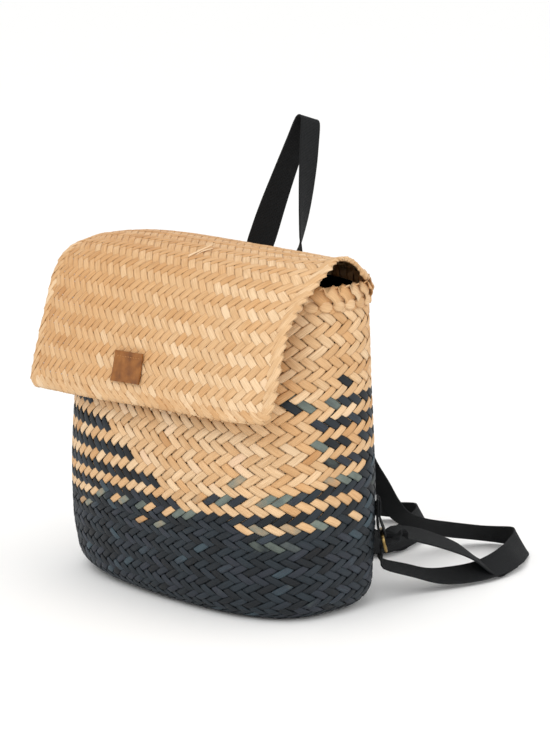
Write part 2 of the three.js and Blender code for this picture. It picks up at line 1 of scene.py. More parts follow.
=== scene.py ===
# Woven straw backpack: the plaited strips, the webbing and the fittings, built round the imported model
import math
import bmesh
import bpy
import numpy as np
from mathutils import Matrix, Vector


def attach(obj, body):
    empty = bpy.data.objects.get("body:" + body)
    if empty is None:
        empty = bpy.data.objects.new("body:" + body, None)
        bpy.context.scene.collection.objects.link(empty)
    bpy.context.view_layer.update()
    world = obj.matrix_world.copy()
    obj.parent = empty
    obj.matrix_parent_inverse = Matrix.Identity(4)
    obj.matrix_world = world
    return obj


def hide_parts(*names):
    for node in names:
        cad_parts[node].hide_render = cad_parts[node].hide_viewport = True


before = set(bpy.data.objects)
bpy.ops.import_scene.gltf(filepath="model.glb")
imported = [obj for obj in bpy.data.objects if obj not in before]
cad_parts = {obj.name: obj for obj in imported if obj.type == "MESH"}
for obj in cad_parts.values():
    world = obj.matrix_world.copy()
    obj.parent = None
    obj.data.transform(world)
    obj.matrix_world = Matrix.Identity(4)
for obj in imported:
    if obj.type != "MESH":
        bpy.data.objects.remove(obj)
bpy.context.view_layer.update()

scene = bpy.context.scene
toMetres = 0.001  # every size below is in millimetres


def readTable(table, key, at, column):
    # a smooth curve through the rows of a table
    x = np.asarray(table[key], float)
    y = np.asarray(table[column], float)
    at = np.asarray(at, float)
    slope = np.empty(len(x))
    slope[1:-1] = (y[2:] - y[:-2]) / (x[2:] - x[:-2])
    slope[0] = (y[1] - y[0]) / (x[1] - x[0])
    slope[-1] = (y[-1] - y[-2]) / (x[-1] - x[-2])
    i = np.clip(np.searchsorted(x, at, side="left") - 1, 0, len(x) - 2)
    span = x[i + 1] - x[i]
    t = np.clip((at - x[i]) / span, 0, 1)
    change = y[i + 1] - y[i]
    bend = (1 - t) * (slope[i] * span - change) + t * (change - slope[i + 1] * span)
    return y[i] + change * t + t * (1 - t) * bend


# Colours and materials

def linear(hexColour):
    # an sRGB hex value as linear red, green, blue and alpha
    parts = [int(hexColour[i:i + 2], 16) / 255 for i in (1, 3, 5)]
    return (*[p / 12.92 if p <= 0.04045 else ((p + 0.055) / 1.055) ** 2.4 for p in parts], 1)


def addNode(tree, kind, settings):
    # settings go on the node itself or, by a socket's number or name, into it: a value, another node's
    # output, or another node, for its first output
    node = tree.nodes.new("ShaderNode" + kind)
    for name, value in settings.items():
        if isinstance(value, bpy.types.Node):
            value = value.outputs[0]
        if isinstance(value, bpy.types.NodeSocket):
            tree.links.new(value, node.inputs[name])
        elif isinstance(name, int) or name in node.inputs:
            node.inputs[name].default_value = value
        else:
            setattr(node, name, value)
    return node


def newMaterial(name, roughness, specular=0.5, metallic=0.0):
    material = bpy.data.materials.new(name)
    material.use_nodes = True
    tree = material.node_tree
    shader = tree.nodes["Principled BSDF"]
    shader.inputs["Roughness"].default_value = roughness
    shader.inputs["Specular IOR Level"].default_value = specular
    shader.inputs["Metallic"].default_value = metallic
    return material, tree, shader


def fillRamp(ramp, stops):
    elements = ramp.color_ramp.elements
    while len(elements) < len(stops):
        elements.new(0.5)
    for element, (place, colour) in zip(elements, stops):
        element.position = place
        element.color = linear(colour)


strawLook = {
    "natural": [(0.0, "#BF8A55"), (0.3, "#D3A36F"), (0.55, "#DBB283"), (0.8, "#EBCBA3"), (1.0, "#EDC7A4")],
    "navy": [(0.0, "#080B0F"), (0.38, "#12191F"), (0.6, "#202A31"), (0.8, "#292C35"), (1.0, "#3A4A52")],
    "halfDyed": "#727C73",
    "streakAcross": 0.55,   # mm between the fibres of a split leaf
    "streakAlong": 16,      # mm that a fibre can be followed
    "blotch": 14,           # mm, uneven dye
    "streakShift": 0.5, "blotchShift": 0.3, "shiftBack": 0.4,  # of the way along a ramp
    "dyeUneven": 0.5,
    "half": (0.2, 0.5), "full": (0.5, 0.85),  # dye at which it turns grey green, then navy
    "grain": (0.86, 1.06),  # darkest and lightest of the fibres, the darkest being painted shade in their hollows
}


def strawMaterial():
    # split palm leaf, sun dried, part of it dyed navy: satin, with fine fibres along each strip
    material, tree, shader = newMaterial("palm_leaf_straw", 0.6, 0.35)
    look = strawLook
    tone = addNode(tree, "Attribute", {"attribute_name": "tone"})
    strand = addNode(tree, "Attribute", {"attribute_name": "strand"})
    place = addNode(tree, "TexCoord", {})
    dye, tint, brightness = addNode(tree, "SeparateXYZ", {"Vector": tone.outputs["Vector"]}).outputs
    fibres = addNode(tree, "VectorMath", {
        "operation": "MULTIPLY", 0: strand.outputs["Vector"],
        1: (1 / look["streakAcross"], 1 / look["streakAlong"], 1),
    })
    streak = addNode(tree, "TexNoise", {"Vector": fibres, "Scale": 1.0, "Detail": 3.0, "Roughness": 0.6})
    blotch = addNode(tree, "TexNoise", {
        "Vector": place.outputs["Object"], "Scale": 1000 / look["blotch"], "Detail": 4.0,
    })
    # each strip's own shade, shifted by its fibres and by blotches
    shifted = addNode(tree, "Math", {"operation": "MULTIPLY_ADD", 0: streak, 1: look["streakShift"], 2: tint})
    shade = addNode(tree, "Math", {
        "operation": "MULTIPLY_ADD", 0: blotch, 1: look["blotchShift"], 2: shifted,
    })
    centred = addNode(tree, "Math", {
        "operation": "SUBTRACT", "use_clamp": True, 0: shade, 1: look["shiftBack"],
    })
    natural = addNode(tree, "ValToRGB", {"Fac": centred})
    fillRamp(natural, look["natural"])
    navy = addNode(tree, "ValToRGB", {"Fac": centred})
    fillRamp(navy, look["navy"])
    # the dye fades through grey green before it is full
    uneven = addNode(tree, "Math", {
        "operation": "MULTIPLY_ADD", 0: blotch, 1: look["dyeUneven"], 2: -look["dyeUneven"] / 2,
    })
    dyed = addNode(tree, "Math", {"operation": "ADD", 0: dye, 1: uneven})
    low, high = look["half"]
    first = addNode(tree, "MapRange", {"Value": dyed, "From Min": low, "From Max": high})
    low, high = look["full"]
    second = addNode(tree, "MapRange", {"Value": dyed, "From Min": low, "From Max": high})
    half = addNode(tree, "Mix", {"data_type": "RGBA", 0: first, 6: natural, 7: linear(look["halfDyed"])})
    full = addNode(tree, "Mix", {"data_type": "RGBA", 0: second, 6: half.outputs[2], 7: navy})
    # the grain is darker in the fibres' hollows: the fibres' own streaks, and painted shade where the bump is
    # low
    darkest, lightest = look["grain"]
    grain = addNode(tree, "MapRange", {
        "Value": streak, "From Min": 0.3, "From Max": 0.7, "To Min": darkest, "To Max": lightest,
    })
    light = addNode(tree, "Math", {"operation": "MULTIPLY", 0: grain, 1: brightness})
    final = addNode(tree, "VectorMath", {"operation": "SCALE", 0: full.outputs[2], "Scale": light})
    relief = addNode(tree, "Bump", {"Strength": 0.35, "Distance": 0.0004, "Height": streak})
    tree.links.new(final.outputs[0], shader.inputs["Base Color"])
    tree.links.new(relief.outputs[0], shader.inputs["Normal"])
    return material


webbingLook = {"rib": 1.35, "yarn": 0.9, "colour": "#0E0F10", "light": "#1C1E20", "yarnHeight": 0.5,
               "fuzzHeight": 1.2, "heights": (-0.9, 2.2)}


def webbingMaterial():
    # cotton webbing, woven in ribs across its width: matte black, a little grey where light rakes the ribs
    material, tree, shader = newMaterial("cotton_webbing", 0.88, 0.25)
    look = webbingLook
    strand = addNode(tree, "Attribute", {"attribute_name": "strand"}).outputs["Vector"]
    counted = addNode(tree, "VectorMath", {
        "operation": "MULTIPLY", 0: strand, 1: (1 / look["yarn"], 1 / look["rib"], 1),
    })
    across, along = addNode(tree, "SeparateXYZ", {"Vector": counted}).outputs[:2]
    ribTurn = addNode(tree, "Math", {"operation": "MULTIPLY", 0: along, 1: 2 * math.pi})
    rib = addNode(tree, "Math", {"operation": "SINE", 0: ribTurn})
    yarnTurn = addNode(tree, "Math", {"operation": "MULTIPLY", 0: across, 1: math.pi})
    yarn = addNode(tree, "Math", {"operation": "SINE", 0: yarnTurn})
    weave = addNode(tree, "Math", {"operation": "MULTIPLY_ADD", 0: yarn, 1: look["yarnHeight"], 2: rib})
    fuzz = addNode(tree, "TexNoise", {"Vector": strand, "Scale": 3.0, "Detail": 4.0})
    height = addNode(tree, "Math", {"operation": "MULTIPLY_ADD", 0: fuzz, 1: look["fuzzHeight"], 2: weave})
    low, high = look["heights"]
    lit = addNode(tree, "MapRange", {"Value": height, "From Min": low, "From Max": high})
    colour = addNode(tree, "Mix", {
        "data_type": "RGBA", 0: lit, 6: linear(look["colour"]), 7: linear(look["light"]),
    })
    relief = addNode(tree, "Bump", {"Strength": 0.6, "Distance": 0.0004, "Height": height})
    tree.links.new(colour.outputs[2], shader.inputs["Base Color"])
    tree.links.new(relief.outputs[0], shader.inputs["Normal"])
    return material


def liningMaterial():
    # plain woven black cotton: no shine at all, threads just visible from close by
    material, tree, shader = newMaterial("black_cotton_lining", 0.95, 0.15)
    place = addNode(tree, "TexCoord", {}).outputs["Object"]
    threads = addNode(tree, "TexNoise", {"Vector": place, "Scale": 1000 / 0.8, "Detail": 2.0})
    colour = addNode(tree, "Mix", {
        "data_type": "RGBA", 0: threads, 6: linear("#070708"), 7: linear("#121214"),
    })
    relief = addNode(tree, "Bump", {"Strength": 0.4, "Distance": 0.0003, "Height": threads})
    tree.links.new(colour.outputs[2], shader.inputs["Base Color"])
    tree.links.new(relief.outputs[0], shader.inputs["Normal"])
    return material


def leatherMaterial():
    # tan cowhide, smooth side out: satin, fine pebbled grain, uneven tan
    material, tree, shader = newMaterial("tan_cowhide", 0.55, 0.4)
    place = addNode(tree, "TexCoord", {}).outputs["Object"]
    grain = addNode(tree, "TexVoronoi", {"Vector": place, "Scale": 1000 / 0.9, "feature": "F1"})
    cloud = addNode(tree, "TexNoise", {"Vector": place, "Scale": 1000 / 9, "Detail": 5.0})
    colour = addNode(tree, "ValToRGB", {"Fac": cloud})
    fillRamp(colour, [(0.3, "#704015"), (0.5, "#86501A"), (0.72, "#9A6127")])
    relief = addNode(tree, "Bump", {"Strength": 0.3, "Distance": 0.0003, "Height": grain})
    tree.links.new(colour.outputs[0], shader.inputs["Base Color"])
    tree.links.new(relief.outputs[0], shader.inputs["Normal"])
    return material


def threadMaterial():
    # waxed thread a little lighter than the leather
    material, tree, shader = newMaterial("waxed_thread", 0.6, 0.4)
    shader.inputs["Base Color"].default_value = linear("#A9733F")
    return material


def brassMaterial():
    # antique brass wire: browned, polished where the webbing rubs it
    material, tree, shader = newMaterial("antique_brass", 0.34, 0.5, 1.0)
    place = addNode(tree, "TexCoord", {}).outputs["Object"]
    cloud = addNode(tree, "TexNoise", {"Vector": place, "Scale": 1000 / 6, "Detail": 5.0})
    colour = addNode(tree, "ValToRGB", {"Fac": cloud})
    fillRamp(colour, [(0.3, "#6E5B38"), (0.55, "#9C8352"), (0.8, "#C4AC74")])
    rough = addNode(tree, "MapRange", {"Value": cloud, "To Min": 0.25, "To Max": 0.5})
    tree.links.new(colour.outputs[0], shader.inputs["Base Color"])
    tree.links.new(rough.outputs[0], shader.inputs["Roughness"])
    return material


straw = strawMaterial()
webbing = webbingMaterial()
liningCloth = liningMaterial()
leather = leatherMaterial()
thread = threadMaterial()
brass = brassMaterial()


def addPiece(name, mesh):
    mesh.polygons.foreach_set("use_smooth", np.ones(len(mesh.polygons), bool))
    piece = bpy.data.objects.new(name, mesh)
    scene.collection.objects.link(piece)
    return piece


def fromBmesh(name, bm):
    mesh = bpy.data.meshes.new(name)
    bm.to_mesh(mesh)
    bm.free()
    return addPiece(name, mesh)


def addWall(piece, wall, offset):
    solid = piece.modifiers.new("wall", "SOLIDIFY")
    solid.thickness = wall * toMetres
    solid.offset = offset


def runningSum(steps):
    return np.concatenate([[0], np.cumsum(steps)])


def wayAlong(points):
    # the distance along a row of points
    return runningSum(np.linalg.norm(np.diff(points, axis=0), axis=1))


def shadeOf(rng, middle, spread, dull, bright, limit=0.02):
    # a strip's place on the colour ramp, and its brightness
    return np.clip(rng.normal(middle, spread), limit, 1 - limit), rng.uniform(dull, bright)


def finishPiece(piece, material, nodes):
    piece.data.materials.append(material)
    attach(piece, "root")
    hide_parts(*nodes)
    return piece


def giveVectors(mesh, name, values):
    layer = mesh.attributes.new(name, "FLOAT_VECTOR", "POINT")
    layer.data.foreach_set("vector", np.asarray(values, np.float32).ravel())


# Strips: each is a row of closed sections, and all strips of a piece are one joined mesh

section = {
    "across": np.array([-0.5, -0.3, 0.3, 0.5, 0.42, -0.42]),   # of the strip's width
    "rise": np.array([-0.1, 0.5, 0.5, -0.1, -0.5, -0.5]),      # of its thickness
}


def stripsMesh(name, strips):
    # strips: a list of (points, strand, tone), each an array of sections x 6 x 3
    points, strand, tone, faces = [], [], [], []
    start = 0
    for stripPoints, stripStrand, stripTone in strips:
        count, sides = stripPoints.shape[:2]
        points.append(stripPoints.reshape(-1, 3))
        strand.append(stripStrand.reshape(-1, 3))
        tone.append(stripTone.reshape(-1, 3))
        row = np.arange(count - 1)[:, None] * sides + start
        side = np.arange(sides)[None, :]
        after = (side + 1) % sides
        quads = np.stack([row + side, row + after, row + sides + after, row + sides + side], -1)
        quads = quads.reshape(-1, 4)
        ends = [
            [start + 5, start + 2, start + 1, start + 0],
            [start + 5, start + 4, start + 3, start + 2],
        ]
        last = start + (count - 1) * sides
        ends += [
            [last + 0, last + 1, last + 2, last + 5],
            [last + 2, last + 3, last + 4, last + 5],
        ]
        # the section's own way round decides which way its faces point
        ahead = stripPoints[1, 1] - stripPoints[0, 1]
        first = stripPoints[0]
        if np.dot(np.cross(first[2] - first[0], first[5] - first[0]), ahead) > 0:
            quads = quads[:, ::-1]
            ends = [end[::-1] for end in ends]
        faces.extend(quads.tolist())
        faces.extend(ends)
        start += count * sides
    mesh = bpy.data.meshes.new(name)
    allPoints = np.concatenate(points) * toMetres
    mesh.from_pydata(allPoints.tolist(), [], faces)
    giveVectors(mesh, "strand", np.concatenate(strand))
    giveVectors(mesh, "tone", np.concatenate(tone))
    mesh.update()
    print(name, len(mesh.polygons) * 2, "triangles")
    return addPiece(name, mesh)


def flatWave(x, flatness=2.2):
    # a cosine with its crests and troughs drawn out flat, as a strip lies over its neighbours
    return x * flatness / np.sqrt(1 + (flatness ** 2 - 1) * x * x)


# The basket's skin: place round it as a share of the way round, skin height in mm

basket = {
    "height": 296, "width": 313, "depth": 181, "power": 2.9, "bottomRadius": 22,
    "rise": [0, 0.12, 0.3, 0.5, 0.7, 0.85, 1],
    "widthShare": [0.985, 1, 1, 0.99, 0.987, 1, 1.01],
    "frontShare": [0.945, 0.955, 1, 0.977, 0.86, 0.7, 0.56],
    "backShare": [0.945, 0.955, 1, 0.977, 0.908, 0.832, 0.757],
    "way": 838,             # mm round it
    "middle": 1.5,          # the strips' middle, in from the outer skin
    "pairs": 66,            # strips of each slant
    # mm from the front's middle, and the spacing of the strips there
    "place": [-419, -200, -60, 40, 100, 160, 240, 300, 419],
    "spacing": [12.9, 11.4, 11.1, 12.5, 13.4, 14.2, 14.5, 13.6, 12.9],
    # rows of crossings: skin height on the left and on the right side
    "row": [-8, 5.25, 6.25, 7.25, 8.25, 9.25, 10.25, 11.25, 12.25, 13.25, 15.25, 19.25, 23.25, 27.25,
            30.25],
    "left": [-32, 66.8, 73.4, 79.5, 86.5, 94.5, 102.5, 111.5, 120.8, 131, 151, 190.5, 230, 269, 299],
    "right": [-32, 71.5, 80, 88.5, 97, 107.2, 116, 124, 132, 140.5, 158, 193.5, 229.5, 269, 299],
    # the lower left corner of the front is pressed in: how far, up to what height, and which way
    "cornerPull": 7.5, "cornerReach": 52, "cornerFade": 1.5, "cornerFull": 0.6, "cornerWay": (0.72, 0.68),
    # mm from the front's middle, and whose heights hold there: 0 the left side's, 1 the right side's
    "tiltPlace": [-419, -260, 20, 200, 270, 419],
    "tilt": [0.5, 0, 0, 1, 1, 0.5],
}


def basketHalves(height, pullIn):
    rise = height / basket["height"]
    width = readTable(basket, "rise", rise, "widthShare") * basket["width"] / 2 - pullIn
    front = readTable(basket, "rise", rise, "frontShare") * basket["depth"] / 2 - pullIn
    back = readTable(basket, "rise", rise, "backShare") * basket["depth"] / 2 - pullIn
    return width, front, back


def basketRing(skinHeight, shares):
    # one level ring: skin height counts along the rounded bottom edge and on under the base
    radius = basket["bottomRadius"]
    bend = min(max((radius - skinHeight) / radius, 0), math.pi / 2)
    under = max(radius - skinHeight - radius * math.pi / 2, 0)
    height = radius - radius * math.sin(bend) if bend > 0 else skinHeight
    pullIn = radius * (1 - math.cos(bend)) + under
    width, front, back = basketHalves(height, pullIn)
    angle = np.linspace(-math.pi / 2 - math.pi, -math.pi / 2 + math.pi, 2881)
    c, s = np.cos(angle), np.sin(angle)
    power = 2 / basket["power"]
    x = width * np.sign(c) * np.abs(c) ** power
    y = np.where(s < 0, front, back) * np.sign(s) * np.abs(s) ** power
    nearCorner = np.maximum(-x / width, 0) * np.maximum(-y / front, 0) / basket["cornerFull"]
    fade = max(1 - height / basket["cornerReach"], 0) ** basket["cornerFade"]
    pull = basket["cornerPull"] * fade * np.minimum(nearCorner, 1)
    way = wayAlong(np.stack([x, y], -1))
    share = (way - way[len(way) // 2]) / way[-1]
    x = np.interp(shares, share, x + pull * basket["cornerWay"][0])
    y = np.interp(shares, share, y + pull * basket["cornerWay"][1])
    return np.stack([x, y, np.full(len(shares), height)], -1)


class Surface:
    # a grid of points with normals, read between its rows and columns
    def __init__(self, columns, rows, points, wrap):
        self.columns, self.rows, self.points, self.wrap = columns, rows, points, wrap
        alongColumns = np.gradient(points, axis=1)
        if wrap:
            alongColumns[:, 0] = alongColumns[:, -1] = points[:, 1] - points[:, -2]
        alongRows = np.gradient(points, axis=0)
        normal = np.cross(alongColumns, alongRows)
        self.normals = normal / np.maximum(np.linalg.norm(normal, axis=-1, keepdims=True), 1e-9)

    def at(self, column, row, off):
        if self.wrap:
            low, high = self.columns[0], self.columns[-1]
            column = (column - low) % (high - low) + low
        i = np.interp(row, self.rows, np.arange(len(self.rows)))
        j = np.interp(column, self.columns, np.arange(len(self.columns)))
        i0 = np.minimum(i.astype(int), len(self.rows) - 2)
        j0 = np.minimum(j.astype(int), len(self.columns) - 2)
        a, b = (i - i0)[..., None], (j - j0)[..., None]

        def mixed(grid):
            low = grid[i0, j0] * (1 - b) + grid[i0, j0 + 1] * b
            high = grid[i0 + 1, j0] * (1 - b) + grid[i0 + 1, j0 + 1] * b
            return low * (1 - a) + high * a
        normal = mixed(self.normals)
        normal /= np.maximum(np.linalg.norm(normal, axis=-1, keepdims=True), 1e-9)
        return mixed(self.points) + normal * np.asarray(off)[..., None]


bodyShares = np.linspace(-0.5, 0.5, 721)
skinHeights = np.concatenate([np.linspace(-34, 22, 40), np.linspace(26, 296, 90)])
bodySurface = Surface(bodyShares, skinHeights,
                      np.stack([basketRing(h, bodyShares) for h in skinHeights]), True)

fineShares = np.linspace(-0.5, 0.5, 2001)
density = 1 / np.interp(fineShares * basket["way"], basket["place"], basket["spacing"])
turnsAt = runningSum((density[1:] + density[:-1]) / 2)
turnsAt = (turnsAt / turnsAt[-1] - 0.5) * basket["pairs"]
turnsAt -= np.interp(0, fineShares, turnsAt)


def shareAt(turns):
    # the share of the way round at a number of strips from the front's middle
    count = basket["pairs"]
    low = turnsAt[0]
    return np.interp((turns - low) % count + low, turnsAt, fineShares)


def skinAt(turns, rows):
    # share of the way round and skin height of a place in the weave
    share = shareAt(turns)
    tilt = np.interp(share * basket["way"], basket["tiltPlace"], basket["tilt"])
    left = np.interp(rows, basket["row"], basket["left"])
    right = np.interp(rows, basket["row"], basket["right"])
    return share, left + (right - left) * tilt


# The dye, by rows of floats, in cm round the basket from the front's middle. A row is natural from
# start to end and navy beyond. Falling floats lie like a backslash, rising ones like a slash.
naturalFalling = {
    9.25: (4.2, 23), 11.25: (1.0, 23.2), 13.25: (-1.8, 19), 15.25: (-5.4, 17.2), 17.25: (-9, 18.2),
    19.25: (-12.5, 20), 21.25: (-15, 35),
}
naturalRising = {8.25: (-35, -6.6), 10.25: (-42, 8), 12.25: (-42, 24), 14.25: (-42, 42)}
# single floats with a dye of their own: place and dye
oddFalling = {
    21.25: [(21.7, 1.0)],
    19.25: [(15.5, 1.0), (16.9, 0.66), (19.8, 0.68)],
    15.25: [(18.4, 0.62), (22.2, 0.0)],
    13.25: [(19.8, 0.8)],
    11.25: [(20.2, 0.3), (21.7, 0.52), (23.1, 0.6)],
    7.25: [(11.2, 0.0), (12.5, 0.44), (13.8, 0.0), (15.1, 0.4), (16.5, 0.28), (17.9, 0.4), (19.3, 0.05),
           (22.2, 0.3)],
    5.25: [(13.0, 0.74), (14.4, 0.68), (15.8, 0.74)],
}
oddRising = {
    12.25: [(10.4, 0.4)],
    10.25: [(6.4, 0.3), (7.7, 0.95), (9.1, 0.5), (10.5, 0.92), (11.8, 0.2), (13.1, 0.5), (14.5, 0.62),
            (15.9, 0.85)],
    8.25: [(-7.4, 0.1), (-6.2, 0.55), (-5.1, 0.8), (-4.0, 0.1), (-2.9, 0.5), (-0.7, 0.6), (0.4, 0.05),
           (2.7, 0.1), (3.9, 0.5), (5.2, 0.66)],
    6.25: [(-9.9, 0.3), (-8.8, 0.5), (-0.8, 0.2), (1.6, 0.58)],
}
oddReach = 0.6  # rows, and cm round the basket


def dyeOf(row, place, stretches, odds):
    # 0 natural, about a half grey green, 1 navy
    low, top = min(stretches), max(stretches)
    dye = 0.0 if row > top + 1 else 1.0
    if low - 1 <= row <= top + 1:
        start, end = stretches[min(stretches, key=lambda each: abs(each - row))]
        dye = 0.0 if start < place < end else 1.0
    near = [odd for each in odds if abs(each - row) < oddReach
            for odd in odds[each] if abs(odd[0] - place) < oddReach]
    return min(near, key=lambda odd: abs(odd[0] - place))[1] if near else dye


bodyWeave = {
    "lift": 0.9,           # how far a strip's middle rides above or below the weave's
    "thick": 0.8,
    "width": 0.97,         # of the spacing between strips
    "uneven": 0.03,        # a float's shift sideways, of the spacing
    "spacing": 9.5,        # mm, which the fibres are spread over
    "samples": 3,          # sections for each crossing
    "from": -6.9,          # rows
    "to": 29.4,
    "top": 289,            # skin height under the turned rim
}
plaitShape = {
    "meanWidth": 0.945, "swing": 0.055,  # a strip is widest where it lies on top
    "shortest": 1.2,                     # rows
    "liftSpread": 0.07,                  # mm, between floats
    "stripStep": 7.3, "slantStep": 31,   # so that every strip has fibres of its own
}


def plait(surfaceAt, rising, indices, spans, weave, floats, seed):
    # One family of strips. surfaceAt gives points from turns, rows and lift. spans gives a strip's first
    # and last row. floats gives a float's dye, its place on the colour ramp and its brightness.
    rng = np.random.default_rng(seed)
    strips = []
    sides = section["across"]
    for index in indices:
        first, last = spans(index)
        if last - first < plaitShape["shortest"]:
            continue
        count = max(int(round((last - first) * 2 * weave["samples"])), 4) + 1
        rows = np.linspace(first, last, count)
        t = 2 * rows + index if rising else index - 2 * rows
        # a strip floats over two crossings and dives under two, so its crests come every four
        phase = (t - index - 0.5) if rising else (index - t - 2.5)
        wave = flatWave(np.cos(math.pi * phase / 2))
        number = np.round(phase / 4).astype(int)
        looks = {}
        for each in np.unique(number):
            crest = (index + 0.5 + 4 * each) if rising else (index - 2.5 - 4 * each)
            turns = (crest + index) / 2
            row = (crest - index) / 2 if rising else (index - crest) / 2
            looks[each] = (floats(turns, row, rng), rng.normal(0, weave["uneven"]),
                           rng.normal(0, plaitShape["liftSpread"]))
        tone = np.array([looks[n][0] for n in number])
        shiftAcross = np.array([looks[n][1] for n in number]) * (0.5 + 0.5 * wave)
        extraLift = np.array([looks[n][2] for n in number]) * np.clip(wave, 0, 1)
        width = weave["width"] * (plaitShape["meanWidth"] + plaitShape["swing"] * wave)
        c = sides[None, :] * width[:, None] + shiftAcross[:, None]
        # the strip's middle rides over and under, and its two faces lie half its thickness off it
        off = (wave * weave["lift"] + extraLift)[:, None] + section["rise"][None, :] * weave["thick"]
        if rising:
            turns, place = (t[:, None] + index + c) / 2, (t[:, None] - index - c) / 2
        else:
            turns, place = (index + t[:, None] + c) / 2, (index - t[:, None] + c) / 2
        points = surfaceAt(turns, place, off)
        length = wayAlong(points.mean(axis=1))
        fibres = index * plaitShape["stripStep"] + plaitShape["slantStep"] * rising
        strand = np.stack([
            c * weave["spacing"], np.repeat(length[:, None], 6, 1), np.full(c.shape, fibres),
        ], -1)
        strips.append((points, strand, np.repeat(tone[:, None, :], 6, 1)))
    return strips


def bodyAt(turns, rows, off):
    share, height = skinAt(turns, rows)
    return bodySurface.at(share, np.minimum(height, basket["height"]), off - basket["middle"])


def bodySpan(index, rising):
    # rows between the base and the rim for one strip
    rows = np.linspace(bodyWeave["from"], bodyWeave["to"], 400)
    turns = index + rows if rising else index - rows
    height = skinAt(turns, rows)[1]
    inside = rows[height < bodyWeave["top"]]
    return bodyWeave["from"], inside[-1]


bodyTint = {
    "place": [12, 15], "middle": [0.58, 0.5],  # cm: the front is painted lighter and the sides darker, painted light and shade
    "spread": 0.14, "dyedMiddle": 0.5, "dyedSpread": 0.2,
    "dyed": 0.2, "dyeSpread": 0.05,            # from this dye on a float counts as dyed
}


def bodyFloat(rising):
    stretches, odds = (naturalRising, oddRising) if rising else (naturalFalling, oddFalling)

    def look(turns, row, rng):
        place = float(shareAt(np.array([turns]))[0]) * basket["way"] / 10
        dye = dyeOf(row, place, stretches, odds)
        if dye > bodyTint["dyed"]:
            dye += rng.normal(0, bodyTint["dyeSpread"])
        middle, spread = bodyTint["dyedMiddle"], bodyTint["dyedSpread"]
        # natural floats: a random tone round a middle painted lighter on the front and darker on the sides,
        # painted light and shade
        if dye < bodyTint["dyed"]:
            middle, spread = np.interp(abs(place), bodyTint["place"], bodyTint["middle"]), bodyTint["spread"]
        return (dye, *shadeOf(rng, middle, spread, 0.92, 1.03))
    return look


for rising, name, seed in ((True, "body_strips_rising", 11), (False, "body_strips_falling", 12)):
    strips = plait(bodyAt, rising, range(basket["pairs"]), lambda i, r=rising: bodySpan(i, r),
                   bodyWeave, bodyFloat(rising), seed)
    finishPiece(stripsMesh(name, strips), straw, ["basket"])


# The base: the same plait laid flat, tucked in over the ends of the body's strips

baseWeave = {"lift": 0.45, "thick": 0.7, "width": 0.97, "uneven": 0.03, "samples": 2, "spacing": 9.0,
             "height": 2.3, "edge": 6, "rows": 12, "strips": 17}


def baseAt(turns, rows, off):
    step = baseWeave["spacing"] * math.sqrt(2)
    return np.stack([turns * step, rows * step, baseWeave["height"] - off], -1)


def baseSpan(index, rising):
    step = baseWeave["spacing"] * math.sqrt(2)
    rows = np.linspace(-baseWeave["rows"], baseWeave["rows"], 600)
    turns = index + rows if rising else index - rows
    width, front, back = basketHalves(0, basket["bottomRadius"] + baseWeave["edge"])
    x, y = np.abs(turns * step) / width, np.abs(rows * step) / front
    inside = rows[x ** basket["power"] + y ** basket["power"] < 1]
    return (inside[0], inside[-1]) if len(inside) else (0, 0)


def navyFloat(turns, row, rng):
    return (1 + rng.normal(0, bodyTint["dyeSpread"]),
            *shadeOf(rng, bodyTint["dyedMiddle"], bodyTint["dyedSpread"], 0.9, 1.03))


baseStrips = []
baseIndices = range(-baseWeave["strips"], baseWeave["strips"] + 1)
for rising in (True, False):
    baseStrips += plait(baseAt, rising, baseIndices, lambda i, r=rising: baseSpan(i, r),
                        baseWeave, navyFloat, 21 + rising)
finishPiece(stripsMesh("base_strips", baseStrips), straw, ["basket"])


# The rim: strips turned back over the edge, with a row of knobs below them

rim = {
    "sections": 13, "thick": 1.3, "width": 1.14, "narrowed": 0.92,  # of the spacing between strips
    "wideAt": [0, 2, 9, 12], "wide": [0.9, 1, 1, 0.85],
    "turning": [285, 293],  # skin heights between which a strip comes to lie level
    "backHigher": 2.9, "backFrom": [0.28, 0.35],  # mm, and where it rises as a share of the way round
    # over the edge: how far round in strips, skin height, and the distance out from the skin
    "path": [(0.8, 280.5, -0.5), (0.6, 283.5, 0.5), (0.33, 287, 1.0), (0.05, 290.2, 0.9), (-0.2, 292.6, 0.2),
             (-0.36, 293.5, -1.6), (-0.5, 292.6, -3.6), (-0.7, 289, -4.4), (-0.95, 284, -4.4)],
}
knob = {"sections": 9, "height": 279.5, "length": 1.0, "slope": -2.5, "rise": 1.3, "sunk": -0.4, "width": 11,
        "thick": 1.6, "endThick": 0.4, "taper": 0.95}


def rimPath():
    path = np.array(rim["path"], float)
    at = np.linspace(0, len(path) - 1, rim["sections"])
    return np.stack([np.interp(at, np.arange(len(path)), path[:, k]) for k in range(3)], -1)


def ribbon(middles, sides, ups, widths, thick):
    # a strip from its middle line, the way across and the way up at each section
    across = section["across"][None, :, None] * widths[:, None, None] * sides[:, None, :]
    rise = section["rise"][None, :, None] * (thick[:, None, None] * ups[:, None, :])
    return middles[:, None, :] + across + rise


def unit(vectors):
    return vectors / np.maximum(np.linalg.norm(vectors, axis=-1, keepdims=True), 1e-9)


def ribbonStrip(middles, ups, widths, thick, tone, number):
    ahead = unit(np.gradient(middles, axis=0))
    sides = unit(np.cross(ahead, ups))
    ups = unit(np.cross(sides, ahead))
    points = ribbon(middles, sides, ups, widths, thick)
    length = wayAlong(middles)
    across = section["across"][None, :] * widths[:, None]
    strand = np.stack([across, np.repeat(length[:, None], 6, 1), np.full(across.shape, number * 5.1)], -1)
    return points, strand, np.broadcast_to(np.asarray(tone, float), points.shape).copy()


